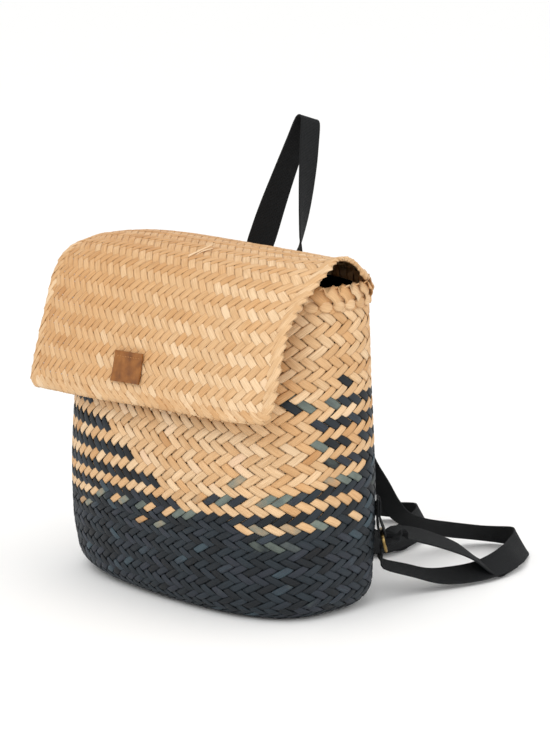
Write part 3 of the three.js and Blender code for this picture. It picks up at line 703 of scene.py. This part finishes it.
def rimStrips():
    rng = np.random.default_rng(31)
    strips = []
    # turned back over the edge
    for number in range(basket["pairs"]):
        path = rimPath()
        share = shareAt(number + path[:, 0] + rng.normal(0, 0.03))
        path[:, 1] += rim["backHigher"] * np.interp(np.abs(share), rim["backFrom"], [0, 1])
        capped = np.minimum(path[:, 1], basket["height"])
        middles = bodySurface.at(share, capped, path[:, 2])
        middles[:, 2] += path[:, 1] - capped
        inner = bodySurface.at(share, capped, path[:, 2] * 0 - 1.5)
        ups = unit(middles - inner + np.array([0, 0, 1e-3]))
        ups[:, 2] += np.interp(path[:, 1], rim["turning"], [0, 1])
        ups = unit(ups)
        spacing = np.interp(share[4] * basket["way"], basket["place"], basket["spacing"])
        wide = np.interp(np.arange(rim["sections"]), rim["wideAt"], rim["wide"])
        tone = (0, *shadeOf(rng, 0.55, 0.17, 0.93, 1.03, 0))
        strips.append(ribbonStrip(middles, ups, spacing * rim["width"] * wide * rim["narrowed"],
                                  np.full(rim["sections"], rim["thick"]), tone, number))
    # the knobs
    for number in range(basket["pairs"]):
        at = np.linspace(-0.5, 0.5, knob["sections"])
        share = shareAt(number + 0.5 + at * knob["length"])
        height = knob["height"] + at * knob["slope"] + rng.normal(0, 0.3)
        rounded = np.sqrt(np.maximum(1 - (2 * at) ** 2 * knob["taper"], 1 - knob["taper"]))
        middles = bodySurface.at(share, height, knob["sunk"] + knob["rise"] * rounded)
        ups = unit(middles - bodySurface.at(share, height, at * 0 - 3))
        tone = (0, *shadeOf(rng, 0.5, 0.17, 0.9, 1.02, 0))
        strips.append(ribbonStrip(middles, ups, knob["width"] * rounded,
                                  knob["endThick"] + knob["thick"] * rounded, tone, number + 100))
    return strips


finishPiece(stripsMesh("rim_strips", rimStrips()), straw, ["basket"])
print("basket woven")


# The flap's surface: across from -1 to 1, and the length from the seam in mm

flap = {
    "width": 319, "standOff": 9, "drop": 113, "rise": 25, "wall": 2.8, "gap": 0.3,
    "wrap": 46, "seamEase": 0.4, "seamPower": 4.5, "edgePower": 5,
    "rowSpacing": 10.15, "columns": 121, "rows": 161,
    "chart": 175,  # mm on both sides that the places of strips are worked out for
    # how much lower the hem hangs across the front, mm, and how far its left edge is drawn in
    "sagPlace": [-1, -0.8, -0.6, -0.32, 0, 0.43, 1],
    "sag": [5.5, 7, 7.5, 6.5, 3.5, 1, 0],
    "leftDrawnIn": 3.5,
    # mm across from the middle, and the spacing of the strips there
    "place": [-160, -80, 0, 80, 160],
    "spacing": [8.7, 9.0, 9.5, 10.2, 11.0],
}
# its middle line and its two edges, all as shares: along it from the seam, how far forward it reaches,
# how high it arches and how far it has fallen
flapMiddle = {
    "along": [0, 0.09, 0.18, 0.26, 0.31, 0.37, 0.43, 0.49, 0.555, 0.625, 0.7, 0.775, 0.855, 0.93, 1],
    "forward": [0, 0.12, 0.25, 0.37, 0.45, 0.545, 0.63, 0.71, 0.78, 0.84, 0.885, 0.922, 0.955, 0.98, 1],
    "lift": [0.01, 0.34, 0.55, 0.64, 0.65, 0.59, 0.44, 0.2, 0, 0, 0, 0, 0, 0, 0],
    "fall": [0, 0, 0, 0, 0, 0, 0, 0, 0.05, 0.18, 0.33, 0.5, 0.67, 0.84, 1],
}
flapRight = {
    "along": [0, 0.1, 0.2, 0.3, 0.38, 0.46, 0.53, 0.61, 0.7, 0.8, 0.9, 1],
    "forward": [0, 0.13, 0.26, 0.38, 0.48, 0.57, 0.655, 0.74, 0.825, 0.875, 0.915, 0.958],
    "lift": [0.01, 0.56, 0.84, 0.91, 0.84, 0.44, 0, 0, 0, 0, 0, 0],
    "fall": [0, 0, 0, 0, 0, 0, 0.01, 0.11, 0.27, 0.49, 0.74, 0.96],
}
flapLeft = {
    "along": [0, 0.1, 0.2, 0.3, 0.4, 0.5, 0.58, 0.66, 0.74, 0.82, 0.91, 1],
    "forward": [0, 0.13, 0.27, 0.4, 0.53, 0.66, 0.745, 0.8, 0.84, 0.88, 0.93, 0.965],
    "lift": [0.01, 0.12, 0.17, 0.19, 0.12, 0, 0, 0, 0, 0, 0, 0],
    "fall": [0, 0, 0, 0, 0, 0.01, 0.1, 0.25, 0.42, 0.6, 0.83, 1.05],
}
backRim = basket["depth"] / 2 * basket["backShare"][-1]
flapReach = backRim + basket["depth"] / 2 + flap["standOff"]


def flapPoint(across, along):
    edges = np.abs(across) ** flap["edgePower"]

    def read(column):
        side = np.where(across < 0, readTable(flapLeft, "along", along, column),
                        readTable(flapRight, "along", along, column))
        return readTable(flapMiddle, "along", along, column) * (1 - edges) + side * edges
    seam = flap["wrap"] * np.abs(across) ** flap["seamPower"] * np.maximum(1 - along / flap["seamEase"], 0)
    level = basket["height"] + flap["wall"] / 2 + flap["gap"]
    fall = read("fall")
    sag = np.interp(across, flap["sagPlace"], flap["sag"]) * fall
    drawnIn = flap["leftDrawnIn"] * np.maximum(-across, 0) ** 3
    return np.stack([
        across * flap["width"] / 2 + drawnIn,
        backRim - read("forward") * flapReach - seam,
        level + read("lift") * flap["rise"] - fall * flap["drop"] - sag,
    ], -1)


acrossSteps = np.linspace(-1, 1, flap["columns"])
alongSteps = np.linspace(0, 1, flap["rows"])
flapGrid = flapPoint(*np.meshgrid(acrossSteps, alongSteps))
flapSurface = Surface(acrossSteps, alongSteps, flapGrid, False)
flapSurface.normals *= -1  # the grid runs down the front, so its own normals point in
lengths = wayAlong(flapGrid[:, flap["columns"] // 2])
flapLength = lengths[-1]
finePlaces = np.linspace(-flap["chart"], flap["chart"], 4 * flap["chart"] + 1)
flapDensity = 1 / np.interp(finePlaces, flap["place"], flap["spacing"])
flapTurns = runningSum((flapDensity[1:] + flapDensity[:-1]) / 4)
flapTurns -= np.interp(0, finePlaces, flapTurns)


def flapChart(x, length, off):
    # a point from its place across in mm, its length from the seam in mm, and the distance out
    along = np.interp(length, lengths, alongSteps)
    return flapSurface.at(x / (flap["width"] / 2), along, off)


flapWeave = {"lift": 0.5, "thick": 0.75, "width": 1.045, "samples": 3, "spacing": 6.9, "inset": 4.2,
             "uneven": 0.012, "strips": 48}
# tints on the ramp: rising floats painted darker than falling ones as painted shade, the right side painted
# lighter as painted light, the seam end painted darker as painted shade, spread the floats' own random tone
flapTint = {"rising": 0.17, "falling": 0.37, "paintedLightToRight": 0.16, "paintedShadeToSeam": 0.24, "spread": 0.065}


def flapAt(turns, rows, off):
    x = np.interp(turns, flapTurns, finePlaces)
    length = flapLength - rows * flap["rowSpacing"]
    return flapChart(x, length, off)


def flapSpan(index, rising):
    rows = np.linspace(0, flapLength / flap["rowSpacing"], 500)
    turns = index + rows if rising else index - rows
    x = np.interp(turns, flapTurns, finePlaces, left=-999, right=999)
    length = flapLength - rows * flap["rowSpacing"]
    halfWidth = flap["width"] / 2 - flapWeave["inset"]
    fromEnds = np.minimum(length, flapLength - length)
    inside = rows[(np.abs(x) < halfWidth) & (fromEnds > flapWeave["inset"])]
    return (inside[0], inside[-1]) if len(inside) else (0, 0)


def flapFloat(rising):
    def look(turns, row, rng):
        x = float(np.interp(turns, flapTurns, finePlaces))
        # painted shade on the rising floats, painted light towards the right and painted shade towards the
        # seam
        middle = flapTint["rising" if rising else "falling"]
        middle += flapTint["paintedLightToRight"] * x / 160 + flapTint["paintedShadeToSeam"] * (1 - row / 30)
        return (0.0, *shadeOf(rng, middle, flapTint["spread"], 0.96, 1.02))
    return look


flapIndices = range(-flapWeave["strips"], flapWeave["strips"] + 1)
for rising, name in ((True, "flap_strips_rising"), (False, "flap_strips_falling")):
    flapStrips = plait(flapAt, rising, flapIndices, lambda i, r=rising: flapSpan(i, r),
                       flapWeave, flapFloat(rising), 41 + rising)
    finishPiece(stripsMesh(name, flapStrips), straw, ["flap"])


# The flap's hem: slanting strands that wrap its edge all the way round

hem = {
    "pitch": 9.6, "slant": 11, "thick": 1.1, "width": 6.8, "corner": 11, "steps": 80, "cornerSteps": 12,
    "wideAt": [0, 2, 8, 10], "wide": [0.7, 1, 1, 0.7],
    "keepIn": 0.2, "deeper": 3, "roundFrom": 2.5,  # mm in from the edge
    # a strand's path: along the edge, in from the edge, off the surface
    "path": [(-1.05, 11, -0.8), (-0.85, 9.4, 0.3), (-0.5, 6.8, 1.0), (-0.15, 4.4, 1.35), (0.15, 2.7, 1.25),
             (0.4, 1.6, 0.8), (0.62, 1.1, 0.1), (0.8, 1.4, -0.7), (1.05, 2.8, -1.3), (1.4, 5.4, -1.4),
             (1.8, 9, -0.9)],
}


def hemTrack():
    corner = hem["corner"]
    half = flap["width"] / 2
    track = []
    # down the left edge, along the hem, up the right edge, back along the seam
    straightParts = [
        ((-half, corner), (-half, flapLength - corner), (-1, 0)),
        ((-half + corner, flapLength), (half - corner, flapLength), (0, 1)),
        ((half, flapLength - corner), (half, corner), (1, 0)),
        ((half - corner, 0), (-half + corner, 0), (0, -1)),
    ]
    for k, (start, end, out) in enumerate(straightParts):
        for share in np.linspace(0, 1, hem["steps"]):
            x = start[0] + (end[0] - start[0]) * share
            length = start[1] + (end[1] - start[1]) * share
            track.append((x, length, out[0], out[1]))
        nextOut = straightParts[(k + 1) % 4][2]
        centre = (end[0] - out[0] * corner, end[1] - out[1] * corner)
        for turn in np.linspace(0, math.pi / 2, hem["cornerSteps"])[1:-1]:
            ox = out[0] * math.cos(turn) + nextOut[0] * math.sin(turn)
            ol = out[1] * math.cos(turn) + nextOut[1] * math.sin(turn)
            track.append((centre[0] + ox * corner, centre[1] + ol * corner, ox, ol))
    track.append(track[0])
    return np.array(track)


def hemStrips():
    rng = np.random.default_rng(51)
    track = hemTrack()
    way = wayAlong(track[:, :2])
    count = int(round(way[-1] / hem["pitch"]))
    path = np.array(hem["path"])
    strips = []
    for number in range(count):
        start = (number + rng.normal(0, 0.05)) / count * way[-1]
        at = (start + path[:, 0] * hem["slant"]) % way[-1]
        x = np.interp(at, way, track[:, 0])
        length = np.interp(at, way, track[:, 1])
        out = unit(np.stack([np.interp(at, way, track[:, 2]), np.interp(at, way, track[:, 3])], -1))
        inward = path[:, 1] + rng.normal(0, 0.25)
        x = x - out[:, 0] * inward
        length = np.clip(length - out[:, 1] * inward, hem["keepIn"], flapLength - hem["keepIn"])
        middles = flapChart(x, length, path[:, 2])
        core = flapChart(x, length, path[:, 2] * 0)
        deeperLength = np.clip(length - out[:, 1] * hem["deeper"], 0, flapLength)
        deeper = flapChart(x - out[:, 0] * hem["deeper"], deeperLength, path[:, 2] * 0)
        outward = unit(core - deeper)
        normal = unit(flapChart(x, length, path[:, 2] * 0 + 1) - core)
        # the strand faces outwards at the edge itself, and up or down away from it
        edge = np.interp(inward, [0, hem["roundFrom"]], [1, 0])[:, None]
        sign = np.sign(path[:, 2] + 1e-6)[:, None]
        ups = unit(normal * sign * (1 - edge * 0.8) + outward * edge)
        tone = (0, *shadeOf(rng, 0.55, 0.08, 0.95, 1.02))
        widths = hem["width"] * np.interp(np.arange(len(path)), hem["wideAt"], hem["wide"])
        strips.append(ribbonStrip(middles, ups, widths, np.full(len(path), hem["thick"]), tone, number))
    return strips


finishPiece(stripsMesh("flap_hem", hemStrips()), straw, ["flap"])

# two strip ends that work loose on top: place across, length from the seam, and height over the weave
looseEnd = {"widest": 4.6, "tip": 2.2, "thick": 0.5, "tone": (0, 0.75, 1.03)}
looseEnds = [
    [(1, 117, -0.3), (4, 113, 0.8), (7, 108.5, 1.6), (9.5, 104, 2.4), (12, 98, 3.4), (14, 91, 4.8)],
    [(6, 111, -0.3), (9, 107, 0.9), (12, 103.5, 1.8), (16, 100.5, 2.6), (20, 99, 3.4)],
]
looseStrips = []
for number, rows in enumerate(looseEnds):
    place = np.array(rows, float)
    middles = flapChart(place[:, 0], place[:, 1], place[:, 2])
    ups = unit(middles - flapChart(place[:, 0], place[:, 1], place[:, 2] - 1))
    widths = np.linspace(looseEnd["widest"], looseEnd["tip"], len(rows))
    thick = np.full(len(rows), looseEnd["thick"])
    looseStrips.append(ribbonStrip(middles, ups, widths, thick, looseEnd["tone"], number))
finishPiece(stripsMesh("loose_ends", looseStrips), straw, ["flap"])
print("flap woven")


# Shells and bands built with bmesh: rings of points joined by bridges

def ringsMesh(name, rings, closedEnds, strand=None):
    bm = bmesh.new()
    layer = bm.verts.layers.float_vector.new("strand") if strand is not None else None
    edgeRings = []
    for k, ring in enumerate(rings):
        verts = [bm.verts.new(np.asarray(point) * toMetres) for point in ring]
        if layer is not None:
            for vert, value in zip(verts, strand[k]):
                vert[layer] = Vector(value)
        edgeRings.append([bm.edges.new((verts[i], verts[(i + 1) % len(verts)])) for i in range(len(verts))])
    for low, high in zip(edgeRings, edgeRings[1:]):
        bmesh.ops.bridge_loops(bm, edges=low + high)
    for k in closedEnds:
        bmesh.ops.contextual_create(bm, geom=edgeRings[k])
    bmesh.ops.recalc_face_normals(bm, faces=bm.faces)
    return fromBmesh(name, bm)


lining = {"inset": 4.1, "topInset": 6.2, "insetFrom": [255, 280], "wall": 1, "floor": 4.2, "points": 120,
          "wave": 0.5, "waves": 23,
          "heights": [-8, 2, 10, 22, 50, 80, 110, 140, 170, 200, 230, 255, 270, 280, 288.5]}


def liningPiece():
    shares = np.linspace(-0.5, 0.5, lining["points"], endpoint=False)
    rings = []
    for height in lining["heights"]:
        inset = np.interp(height, lining["insetFrom"], [lining["inset"], lining["topInset"]])
        ring = bodySurface.at(shares, np.full(len(shares), float(height)), np.full(len(shares), -inset))
        ring[:, 2] = np.maximum(ring[:, 2], lining["floor"])
        ripple = lining["wave"] * np.sin(shares * 2 * math.pi * lining["waves"] + height / 40)
        ring[:, :2] *= (1 - ripple / 150)[:, None]
        rings.append(ring)
    piece = ringsMesh("bag_lining", rings, [0])
    addWall(piece, lining["wall"], -1)
    return piece


liningObject = finishPiece(liningPiece(), liningCloth, ["lining"])


# The leather label, sewn on near the hem, a little lifted at its corners

label = {"width": 37, "height": 27, "wall": 1.6, "side": -18, "aboveHem": 31, "off": 2.6,
         "curl": 0.9, "flatTo": 0.45, "crease": 0.35, "creaseWidth": 0.07, "cutAslant": 0.012, "bevel": 0.35,
         "stitch": 3.4, "stitchLength": 2.4, "stitchRow": 0.66, "stitchRise": [-0.5, 0.22, 0.32, 0.22, -0.5],
         "stitchWide": 0.75, "stitchThick": 0.6, "stitchSunk": 0.35, "stitchAslant": 0.12}


def labelPiece():
    bm = bmesh.new()
    bmesh.ops.create_grid(bm, x_segments=16, y_segments=12, size=1)
    for vert in bm.verts:
        x, y = vert.co.x, vert.co.y
        # cut by hand: the sides aren't quite straight
        side = label["side"] + x * label["width"] / 2 * (1 - label["cutAslant"] * y)
        length = flapLength - label["aboveHem"] - y * label["height"] / 2
        curl = label["curl"] * max(abs(x) * abs(y) - label["flatTo"], 0) / (1 - label["flatTo"])
        crease = -label["crease"] * math.exp(-((y - label["stitchRow"]) / label["creaseWidth"]) ** 2)
        spot = flapChart(np.array([side]), np.array([length]), np.array([label["off"] + curl + crease]))[0]
        vert.co = Vector(spot * toMetres)
    bmesh.ops.recalc_face_normals(bm, faces=bm.faces)
    piece = fromBmesh("label", bm)
    addWall(piece, label["wall"], 0)
    bevel = piece.modifiers.new("edge", "BEVEL")
    bevel.width = label["bevel"] * toMetres
    bevel.segments = 2
    bevel.limit_method = "ANGLE"
    return piece


def stitchStrips():
    # one row across the top, each stitch sunk at both ends
    rng = np.random.default_rng(61)
    count = int(label["width"] * 0.9 / label["stitch"])
    steps = len(label["stitchRise"])
    strips = []
    for number in range(count):
        middle = label["side"] + (number - (count - 1) / 2) * label["stitch"]
        x = middle + np.linspace(-0.5, 0.5, steps) * label["stitchLength"]
        length = np.full(steps, flapLength - label["aboveHem"] - label["stitchRow"] * label["height"] / 2)
        length += np.linspace(-label["stitchAslant"], label["stitchAslant"], steps) + rng.normal(0, 0.06)
        off = label["off"] + label["wall"] / 2 - label["stitchSunk"] + np.array(label["stitchRise"])
        middles = flapChart(x, length, off)
        ups = unit(middles - flapChart(x, length, off - 1))
        widths, thick = np.full(steps, label["stitchWide"]), np.full(steps, label["stitchThick"])
        strips.append(ribbonStrip(middles, ups, widths, thick, (0, 0.5, 1), number))
    return strips


finishPiece(labelPiece(), leather, ["leather_label"])
finishPiece(stripsMesh("label_stitches", stitchStrips()), thread, ["leather_label"])


# Webbing: the handle, the straps and the tabs follow the same stations as the solids

webbingSize = {"width": 25, "thick": 1.6, "steps": 6}
# one face of the webbing, in mm across it and up from its middle: a little thicker along both selvedges
bandAcross = np.array([-12.5, -12.25, -11.2, -10.4, 0, 10.4, 11.2, 12.25, 12.5])
bandRise = np.array([0.25, 0.72, 0.82, 0.66, 0.68, 0.66, 0.82, 0.72, 0.25])


def catmull(points, t):
    # a centripetal curve through the points, t from 0 to 1
    last = len(points) - 1
    at = last * t
    i = min(int(at), last - 1)
    w = at - i
    p1, p2 = points[i], points[i + 1]
    p0 = points[i - 1] if i > 0 else 2 * points[0] - points[1]
    p3 = points[i + 2] if i + 2 <= last else 2 * points[last] - points[last - 1]
    d1 = max(np.linalg.norm(p2 - p1) ** 0.5, 1e-4)
    d0 = np.linalg.norm(p1 - p0) ** 0.5
    d2 = np.linalg.norm(p3 - p2) ** 0.5
    d0 = d1 if d0 < 1e-4 else d0
    d2 = d1 if d2 < 1e-4 else d2
    m1 = ((p1 - p0) / d0 - (p2 - p0) / (d0 + d1) + (p2 - p1) / d1) * d1
    m2 = ((p2 - p1) / d1 - (p3 - p1) / (d1 + d2) + (p3 - p2) / d2) * d1
    return p1 + m1 * w + (-3 * p1 + 3 * p2 - 2 * m1 - m2) * w ** 2 + (2 * p1 - 2 * p2 + m1 + m2) * w ** 3


def bandPiece(name, stations, number):
    points = [np.asarray(p, float) for p, edge in stations]
    edges = [np.asarray(edge, float) for p, edge in stations]
    count = (len(stations) - 1) * webbingSize["steps"]
    rings, strand = [], []
    way = 0
    before = None
    for i in range(count + 1):
        t = i / count
        point = catmull(points, t)
        ahead = catmull(points, min(t + 1e-4, 1)) - catmull(points, max(t - 1e-4, 0))
        ahead = ahead / np.linalg.norm(ahead)
        edge = catmull(edges, t)
        edge = edge - ahead * edge.dot(ahead)
        edge = edge / np.linalg.norm(edge)
        face = np.cross(ahead, edge)
        way += 0 if before is None else np.linalg.norm(point - before)
        before = point
        top = [point + edge * a + face * r for a, r in zip(bandAcross, bandRise)]
        bottom = [point + edge * a - face * r for a, r in zip(bandAcross[::-1], bandRise[::-1])]
        rings.append(top + bottom)
        strand.append([(a, way, number * 40) for a in bandAcross]
                      + [(a, way + 0.6, number * 40 + 9) for a in bandAcross[::-1]])
    return ringsMesh(name, rings, [0, -1], strand)


handle = {"height": 120, "side": -6, "spread": 52, "lean": 37, "off": 9, "sewn": 40, "ease": 16,
          "rimFold": 11}
handleLeg = {
    "side": [0, 0.11, 0.18, 0.3, 0.45, 0.64, 0.81, 0.93, 1],
    "rise": [1, 0.985, 0.95, 0.84, 0.7, 0.5, 0.3, 0.12, 0],
    "face": [90, 90, 90, 89, 86, 77, 64, 48, 28],
}
flatOff = webbingSize["thick"] / 2 + 0.6  # mm from the skin to the middle of webbing that lies flat
sewnOff = flatOff + 1.2


def backFace(side, height):
    width, front, back = basketHalves(height, 0)
    power = basket["power"]
    return float(back * (1 - min(abs(side) / width, 1) ** power) ** (1 / power))


def backTangent(side, height):
    half = webbingSize["width"] / 2
    turn = backFace(side + half, height) - backFace(side - half, height)
    return unit(np.array([webbingSize["width"], turn, 0.0]))


def handleStations():
    def leg(mirror):
        stations = []
        for side, rise, face in zip(*[handleLeg[k] for k in ("side", "rise", "face")]):
            face = math.radians(face)
            stations.append((
                np.array([handle["side"] + mirror * side * handle["spread"] / 2,
                          backRim + handle["off"] + rise * handle["lean"],
                          basket["height"] + rise * handle["height"]]),
                np.array([-mirror * math.cos(face), math.sin(face),
                          -math.sin(face) * handle["lean"] / handle["height"]]),
            ))
        for share in (0, 0.35, 0.7, 1):
            height = basket["height"] - handle["rimFold"] - share * (handle["sewn"] - handle["rimFold"])
            loose = (1 - share) ** 2
            side = handle["side"] + mirror * handle["spread"] / 2
            stations.append((
                np.array([side, backFace(side, height) + sewnOff + loose * handle["off"] / 2, height]),
                backTangent(side, height) * -mirror
                + np.array([0, math.radians(handle["ease"] * loose), 0]),
            ))
        return stations
    return leg(-1)[::-1] + leg(1)[1:]


finishPiece(bandPiece("handle", handleStations(), 1), webbing, ["grab_handle"])

ringAt = {"height": 56, "standOff": 8, "bearing": 47, "wire": 3, "drop": 14, "tilt": 14, "tab": 32,
          "gap": 0.3}
strapSize = {"spread": 124, "top": 268, "sewn": 37, "parting": 4, "reach": 194, "loop": 104,
             "nearSide": 105, "farSide": -22}
# side, back and rise as shares, and the direction of the webbing's width
strapFall = [
    (-1.0, 0.09, 0.56, 1, 0, 0.02), (-1.0, 0.18, 0.41, 1, 0, 0.06),
    (-0.99, 0.295, 0.296, 1, -0.02, 0.16),
    (-0.98, 0.37, 0.22, 1, -0.06, 0.3), (-0.96, 0.44, 0.165, 0.95, -0.1, 0.45),
    (-0.93, 0.555, 0.118, 0.85, -0.15, 0.6),
]
strapLoop = [
    (-0.83, 0.74, 0.076, 0.75, -0.2, 0.72), (-0.64, 0.9, 0.05, 0.68, -0.32, 0.76),
    (-0.34, 0.985, 0.042, 0.45, -0.45, 0.8), (0.02, 1.0, 0.042, 0.1, -0.5, 0.84),
    (0.34, 0.94, 0.045, -0.35, -0.42, 0.82), (0.62, 0.83, 0.048, -0.62, -0.32, 0.7),
    (0.87, 0.71, 0.05, -0.78, -0.2, 0.6), (1.0, 0.57, 0.042, -0.86, -0.06, 0.5),
    (1.02, 0.44, 0.036, -0.9, 0.04, 0.42),
]
nearReturn = [(0.3, 0.31, 0.036, -0.9, 0.12, 0.4), (0.6, 0.185, 0.046, -0.9, 0.25, 0.34),
              (0.9, 0.06, 0.076, -0.85, 0.45, 0.22)]
farReturn = [(0.1, 0.31, 0.036, -0.7, 0.6, 0.4), (0.36, 0.215, 0.036, -0.3, 0.86, 0.36),
             (0.66, 0.16, 0.036, -0.3, 0.9, 0.28), (0.9, 0.1, 0.06, -0.75, 0.6, 0.12)]
strapThrough = [(-1.4, -4.6), (-1.3, -2.2), (-1.35, 0), (-1.0, 1.1), (0.1, 1.6), (1.2, 2.0), (2.4, 2.4)]
nearEnd = [(0.08, -0.05, 0.222, -0.76, 0.6, 0.12), (0.3, 0.07, 0.202, -0.85, 0.35, 0.34),
           (0.55, 0.21, 0.164, -0.9, 0.12, 0.44), (0.8, 0.355, 0.114, -0.9, 0, 0.46)]
farEnd = [(-0.02, 0.06, 0.222, -0.85, -0.2, 0.1), (0.14, 0.17, 0.202, -0.6, 0.7, 0.24),
          (0.42, 0.25, 0.164, -0.4, 0.85, 0.34), (0.75, 0.35, 0.114, -0.66, 0.55, 0.42)]
sewnUnder = [(7.35, 1.0), (6.8, 1.0), (6.2, 1.0)]
barOut = ringAt["drop"] / 2 * math.sin(math.radians(ringAt["tilt"]))
barUp = ringAt["drop"] / 2 * math.cos(math.radians(ringAt["tilt"]))
wrapRadius = ringAt["wire"] / 2 + ringAt["gap"] * 1.5 + webbingSize["thick"] / 2


def cornerPoint(height, bearing, mirror):
    radius = basket["bottomRadius"]
    below = max(radius - height, 0)
    width, front, back = basketHalves(height, radius - math.sqrt(radius ** 2 - below ** 2))
    power = basket["power"]
    m = power / (power - 1)
    c, s = width * math.cos(bearing), back * math.sin(bearing)
    reach = (abs(c) ** m + abs(s) ** m) ** (1 / m)
    return np.array([mirror * width * (abs(c) / reach) ** (1 / (power - 1)),
                     back * (abs(s) / reach) ** (1 / (power - 1)), height])


class RingFrame:
    # the outward direction and the bars' direction at a lower back corner
    def __init__(self, mirror):
        self.mirror = mirror
        self.bearing = math.radians(ringAt["bearing"])
        self.out = np.array([mirror * math.cos(self.bearing), math.sin(self.bearing), 0])
        self.bar = np.array([mirror * -math.sin(self.bearing), math.cos(self.bearing), 0])
        self.centre = self.at(ringAt["standOff"], ringAt["height"])

    def at(self, standOff, height):
        return cornerPoint(height, self.bearing, self.mirror) + self.out * standOff

    def fromCentre(self, outwards, up):
        point = self.centre + self.out * outwards
        point[2] = ringAt["height"] + up
        return point


def tabStations(mirror):
    ring = RingFrame(mirror)
    over = flatOff + webbingSize["thick"] + ringAt["gap"]
    foot = ringAt["height"] + barUp
    tab = ringAt["tab"]

    def turn(degrees):
        angle = math.radians(degrees)
        return ring.fromCentre(-barOut + wrapRadius * math.cos(angle), barUp + wrapRadius * math.sin(angle))
    points = [ring.at(flatOff, foot + tab * share) for share in (1, 0.7, 0.45)]
    points += [turn(degrees) for degrees in (170, 215, 270, 325, 10)]
    points += [ring.at(over, foot + tab * share) for share in (0.45, 0.7, 0.95)]
    return [(point, ring.bar) for point in points]


def strapStations(mirror, loopSide, returnRows, endRows):
    ring = RingFrame(mirror)
    size = strapSize
    anchor = mirror * size["spread"] / 2
    halfLoop = size["loop"] / 2

    def place(side, back, rise, edge):
        edge = unit(np.array(edge, float))
        onFloor = (edge[2] * webbingSize["width"] + webbingSize["thick"]) / 2 + ringAt["gap"]
        height = max(rise * size["top"], onFloor)
        return np.array([side, basket["depth"] / 2 + back * size["reach"], height]), edge
    sewn = []
    for share in (0, 0.5, 1, 1.6):
        height = size["top"] - share * size["sewn"]
        off = sewnOff + max(share - 1, 0) / 0.6 * size["parting"]
        point = np.array([anchor, backFace(anchor, height) + off, height])
        sewn.append((point, backTangent(anchor, height)))
    fall = []
    for i, (side, back, rise, *edge) in enumerate(strapFall):
        share = min((i + 1) / len(strapFall), 1)
        fall.append(place(anchor + (loopSide + side * halfLoop - anchor) * share, back, rise, edge))
    loop = [place(loopSide + side * halfLoop, back, rise, edge) for side, back, rise, *edge in strapLoop]
    loopEnd = loop[-1][0][0]
    back = [place(loopEnd + (ring.centre[0] - loopEnd) * share, b, rise, edge)
            for share, b, rise, *edge in returnRows]
    barEdge = ring.bar if mirror > 0 else -ring.bar
    through = [(ring.fromCentre(barOut + out * wrapRadius, -barUp + up * wrapRadius), barEdge)
               for out, up in strapThrough]
    points = [p for p, edge in loop]
    edges = [edge for p, edge in loop]
    sewnEnd = []
    for row, under in sewnUnder:
        t = row / (len(loop) - 1)
        edge = unit(catmull(edges, t))
        ahead = unit(catmull(points, t + 1e-4) - catmull(points, t - 1e-4))
        below = unit(np.cross(ahead, edge))
        below = -below if below[2] > 0 else below
        gap = under * (webbingSize["thick"] + ringAt["gap"] * 2)
        sewnEnd.append((catmull(points, t) + below * gap, edge))
    endSide = sewnEnd[0][0][0]
    end = [place(ring.centre[0] + (endSide - ring.centre[0]) * share, b, rise, edge)
           for share, b, rise, *edge in endRows]
    return sewn + fall + loop + back + through + end + sewnEnd


for name, mirror, side, returnRows, endRows, number in (
    ("right", 1, strapSize["nearSide"], nearReturn, nearEnd, 2),
    ("left", -1, strapSize["farSide"], farReturn, farEnd, 3),
):
    strap = bandPiece("strap_" + name, strapStations(mirror, side, returnRows, endRows), number)
    finishPiece(strap, webbing, ["shoulder_strap_" + name])
    tab = bandPiece("tab_" + name, tabStations(mirror), number + 3)
    finishPiece(tab, webbing, ["ring_tab_" + name])
    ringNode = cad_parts["ring_" + name]
    ringNode.data.materials.clear()
    ringNode.data.materials.append(brass)
print("webbing and rings done")


# Camera, floor and light

camera = {"turn": 47.04, "tip": 12.29, "away": 2.8272, "aim": (0, 0, 0.17), "lens": 153.85,
          "shiftX": 0.0739, "shiftY": 0.0464}


stage = {
    "floor": 25, "floorColour": "#FEFEFD", "world": (1, 1, 1, 1), "aim": (0, 0, 0.15),
    "lights": [("key", 1.6, 23, (1.0, -2.0, 2.4)), ("side", 1.4, 7, (2.6, 0.4, 1.2))],
}


def addCamera():
    turn, tip = math.radians(camera["turn"]), math.radians(camera["tip"])
    towards = Vector((math.sin(turn) * math.cos(tip), -math.cos(turn) * math.cos(tip), math.sin(tip)))
    data = bpy.data.cameras.new("camera")
    data.lens = camera["lens"]
    data.sensor_width = 36
    data.shift_x, data.shift_y = camera["shiftX"], camera["shiftY"]
    eye = bpy.data.objects.new("camera", data)
    eye.location = Vector(camera["aim"]) + towards * camera["away"]
    eye.rotation_euler = towards.to_track_quat("Z", "Y").to_euler()
    scene.collection.objects.link(eye)
    scene.camera = eye


def addLight(name, size, power, place):
    data = bpy.data.lights.new(name, "AREA")
    data.size = size
    data.energy = power
    lamp = bpy.data.objects.new(name, data)
    lamp.location = place
    lamp.rotation_euler = (Vector(place) - Vector(stage["aim"])).to_track_quat("Z", "Y").to_euler()
    scene.collection.objects.link(lamp)


def addStage():
    bm = bmesh.new()
    bmesh.ops.create_grid(bm, x_segments=1, y_segments=1, size=stage["floor"])
    floor = fromBmesh("floor", bm)
    # a matt white board that the backpack stands on
    material, tree, shader = newMaterial("matte_paint", 0.9, 0.2)
    shader.inputs["Base Color"].default_value = linear(stage["floorColour"])
    floor.data.materials.append(material)
    world = bpy.data.worlds.new("studio")
    world.use_nodes = True
    background = world.node_tree.nodes["Background"]
    background.inputs["Color"].default_value = stage["world"]
    background.inputs["Strength"].default_value = 1.0
    scene.world = world


addCamera()
addStage()
for light in stage["lights"]:
    addLight(*light)
scene.view_settings.view_transform = "Standard"
print("camera and light done")
